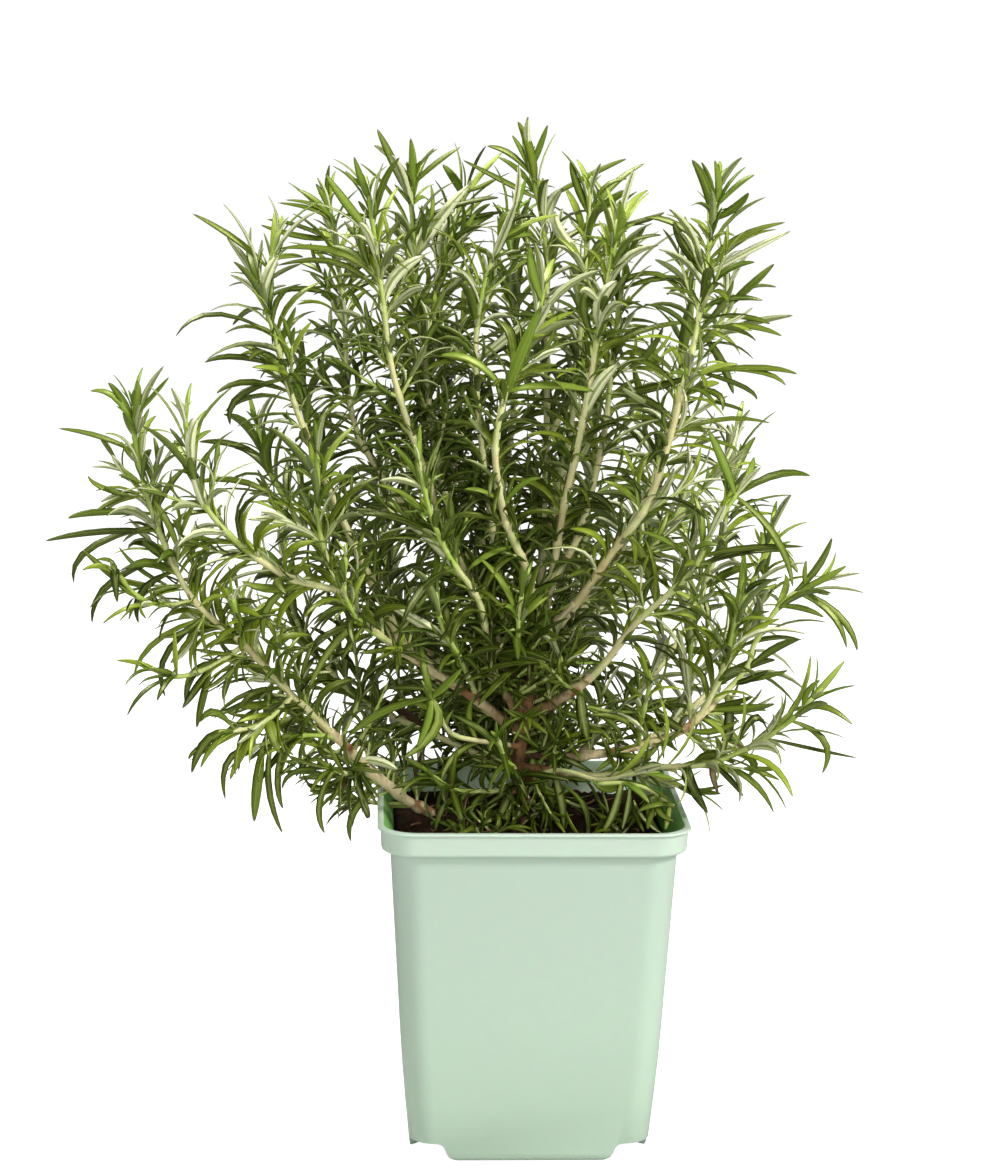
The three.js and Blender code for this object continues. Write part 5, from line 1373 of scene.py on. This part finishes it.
soilSetup = {
    "half": 48.2, "corner": 9.0, "height": 113.0, "cells": 88, "over": 0.5, "thickness": 1.6,
    "lumpHeight": 1.3, "lumpPitch": 9.0, "rough": 3.2, "roughMiddle": 0.35, "grain": 0.006, "seed": 73,
    "crumbs": 420, "crumbMargin": 3, "crumbSize": 0.5, "crumbVary": 1.5, "crumbRise": 1.1,
    "fibres": 60, "fibreMargin": 8, "fibreRise": 1.4, "fibreRiseVary": 1.2, "fibreLength": 3, "fibreVary": 5,
}


def soilTop(x, y, setup):
    pitch = setup["lumpPitch"]
    wave = np.sin(x / pitch * 2.1 + 1.3) * np.cos(y / pitch * 1.7 - 0.6)
    return setup["height"] + setup["lumpHeight"] * (wave + 0.5 * np.sin((x + 2 * y) / pitch * 2.9))


def makeSoilSurface(setup):
    bpy.ops.mesh.primitive_grid_add(x_subdivisions=setup["cells"], y_subdivisions=setup["cells"], size=2)
    slab = bpy.context.object
    slab.name = "soilSurface"
    half, corner = setup["half"], setup["corner"]
    for vertex in slab.data.vertices:
        x, y = vertex.co.x * half, vertex.co.y * half
        over = Vector((max(0.0, abs(x) - half + corner), max(0.0, abs(y) - half + corner)))
        if over.x > 0 and over.y > 0:  # draws the corner in to a round one
            over *= max(over) / over.length
            x, y = (math.copysign(half - corner + o, v) for o, v in zip(over, (x, y)))
        vertex.co = Vector((x, y, soilTop(x, y, setup) + setup["over"] - setup["thickness"])) * mm
    editAll(slab)
    extrudeBy(0, 0, setup["thickness"] * mm)
    bpy.ops.object.mode_set(mode="OBJECT")
    top = slab.vertex_groups.new(name="top")
    top.add([v.index for v in slab.data.vertices if v.select], 1.0, "REPLACE")
    editAll(slab)
    faceOutwards()
    bpy.ops.object.mode_set(mode="OBJECT")
    roughen(slab, "soilLumps", setup["grain"], setup["rough"] * mm, direction="Z", vertex_group="top",
            mid_level=setup["roughMiddle"])
    applyAll(slab)
    bpy.ops.object.shade_smooth()
    slab.data.materials.append(soilMaterial)
    return slab


# Crumbs of soil are one lump, copied at many sizes and turns, and fibres lie between them
def makeCrumbs(setup):
    random = np.random.default_rng(setup["seed"])
    bpy.ops.mesh.primitive_ico_sphere_add(subdivisions=1, radius=1)
    crumb = bpy.context.object
    crumb.data.materials.append(soilMaterial)
    lumps = []
    for number in range(setup["crumbs"]):
        x, y = (random.random(2) * 2 - 1) * (setup["half"] - setup["crumbMargin"])
        size = setup["crumbSize"] + setup["crumbVary"] * random.random() ** 2
        lump = crumb.copy()
        lump.data = crumb.data.copy()
        angle = 2 * math.pi * random.random()
        turn = Matrix.Rotation(angle, 4, Vector(random.random(3)) - Vector((0.5, 0.5, 0.4)))
        form = Matrix.Diagonal((*(size * mm * (0.7 + 0.6 * random.random(3))), 1))
        z = soilTop(x, y, setup) + setup["crumbRise"] + 0.3 * size
        place = Matrix.Translation(Vector((x, y, z)) * mm)
        lump.data.transform(place @ turn @ form)
        for face in lump.data.polygons:
            face.use_smooth = number % 2 == 0
        scene.collection.objects.link(lump)
        lumps.append(lump)
    bpy.data.objects.remove(crumb)
    fibres = []
    for number in range(setup["fibres"]):
        x, y = (random.random(2) * 2 - 1) * (setup["half"] - setup["fibreMargin"])
        rise = setup["fibreRise"] + setup["fibreRiseVary"] * random.random()
        root = np.array([x, y, soilTop(x, y, setup) + rise])
        way = unit(random.random(3) - 0.5) * (setup["fibreLength"] + setup["fibreVary"] * random.random())
        way = way * np.array([1, 1, 0.25])
        fibres.append((root, root + way * 0.5 + unit(random.random(3) - 0.5), root + way, -down,
                       0.5 + 0.5 * random.random(), 0.0, 0.0, 0.9 + 0.3 * random.random()))
    return lumps + [spreadCopies("soilFibres", twigUnit, fibres, stemMaterial)]


surface = makeSoilSurface(soilSetup)
joinTo(surface, makeCrumbs(soilSetup))
finishPiece(surface, "soil")
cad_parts["soil"].data.materials.clear()
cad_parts["soil"].data.materials.append(soilMaterial)
print("soil is made")
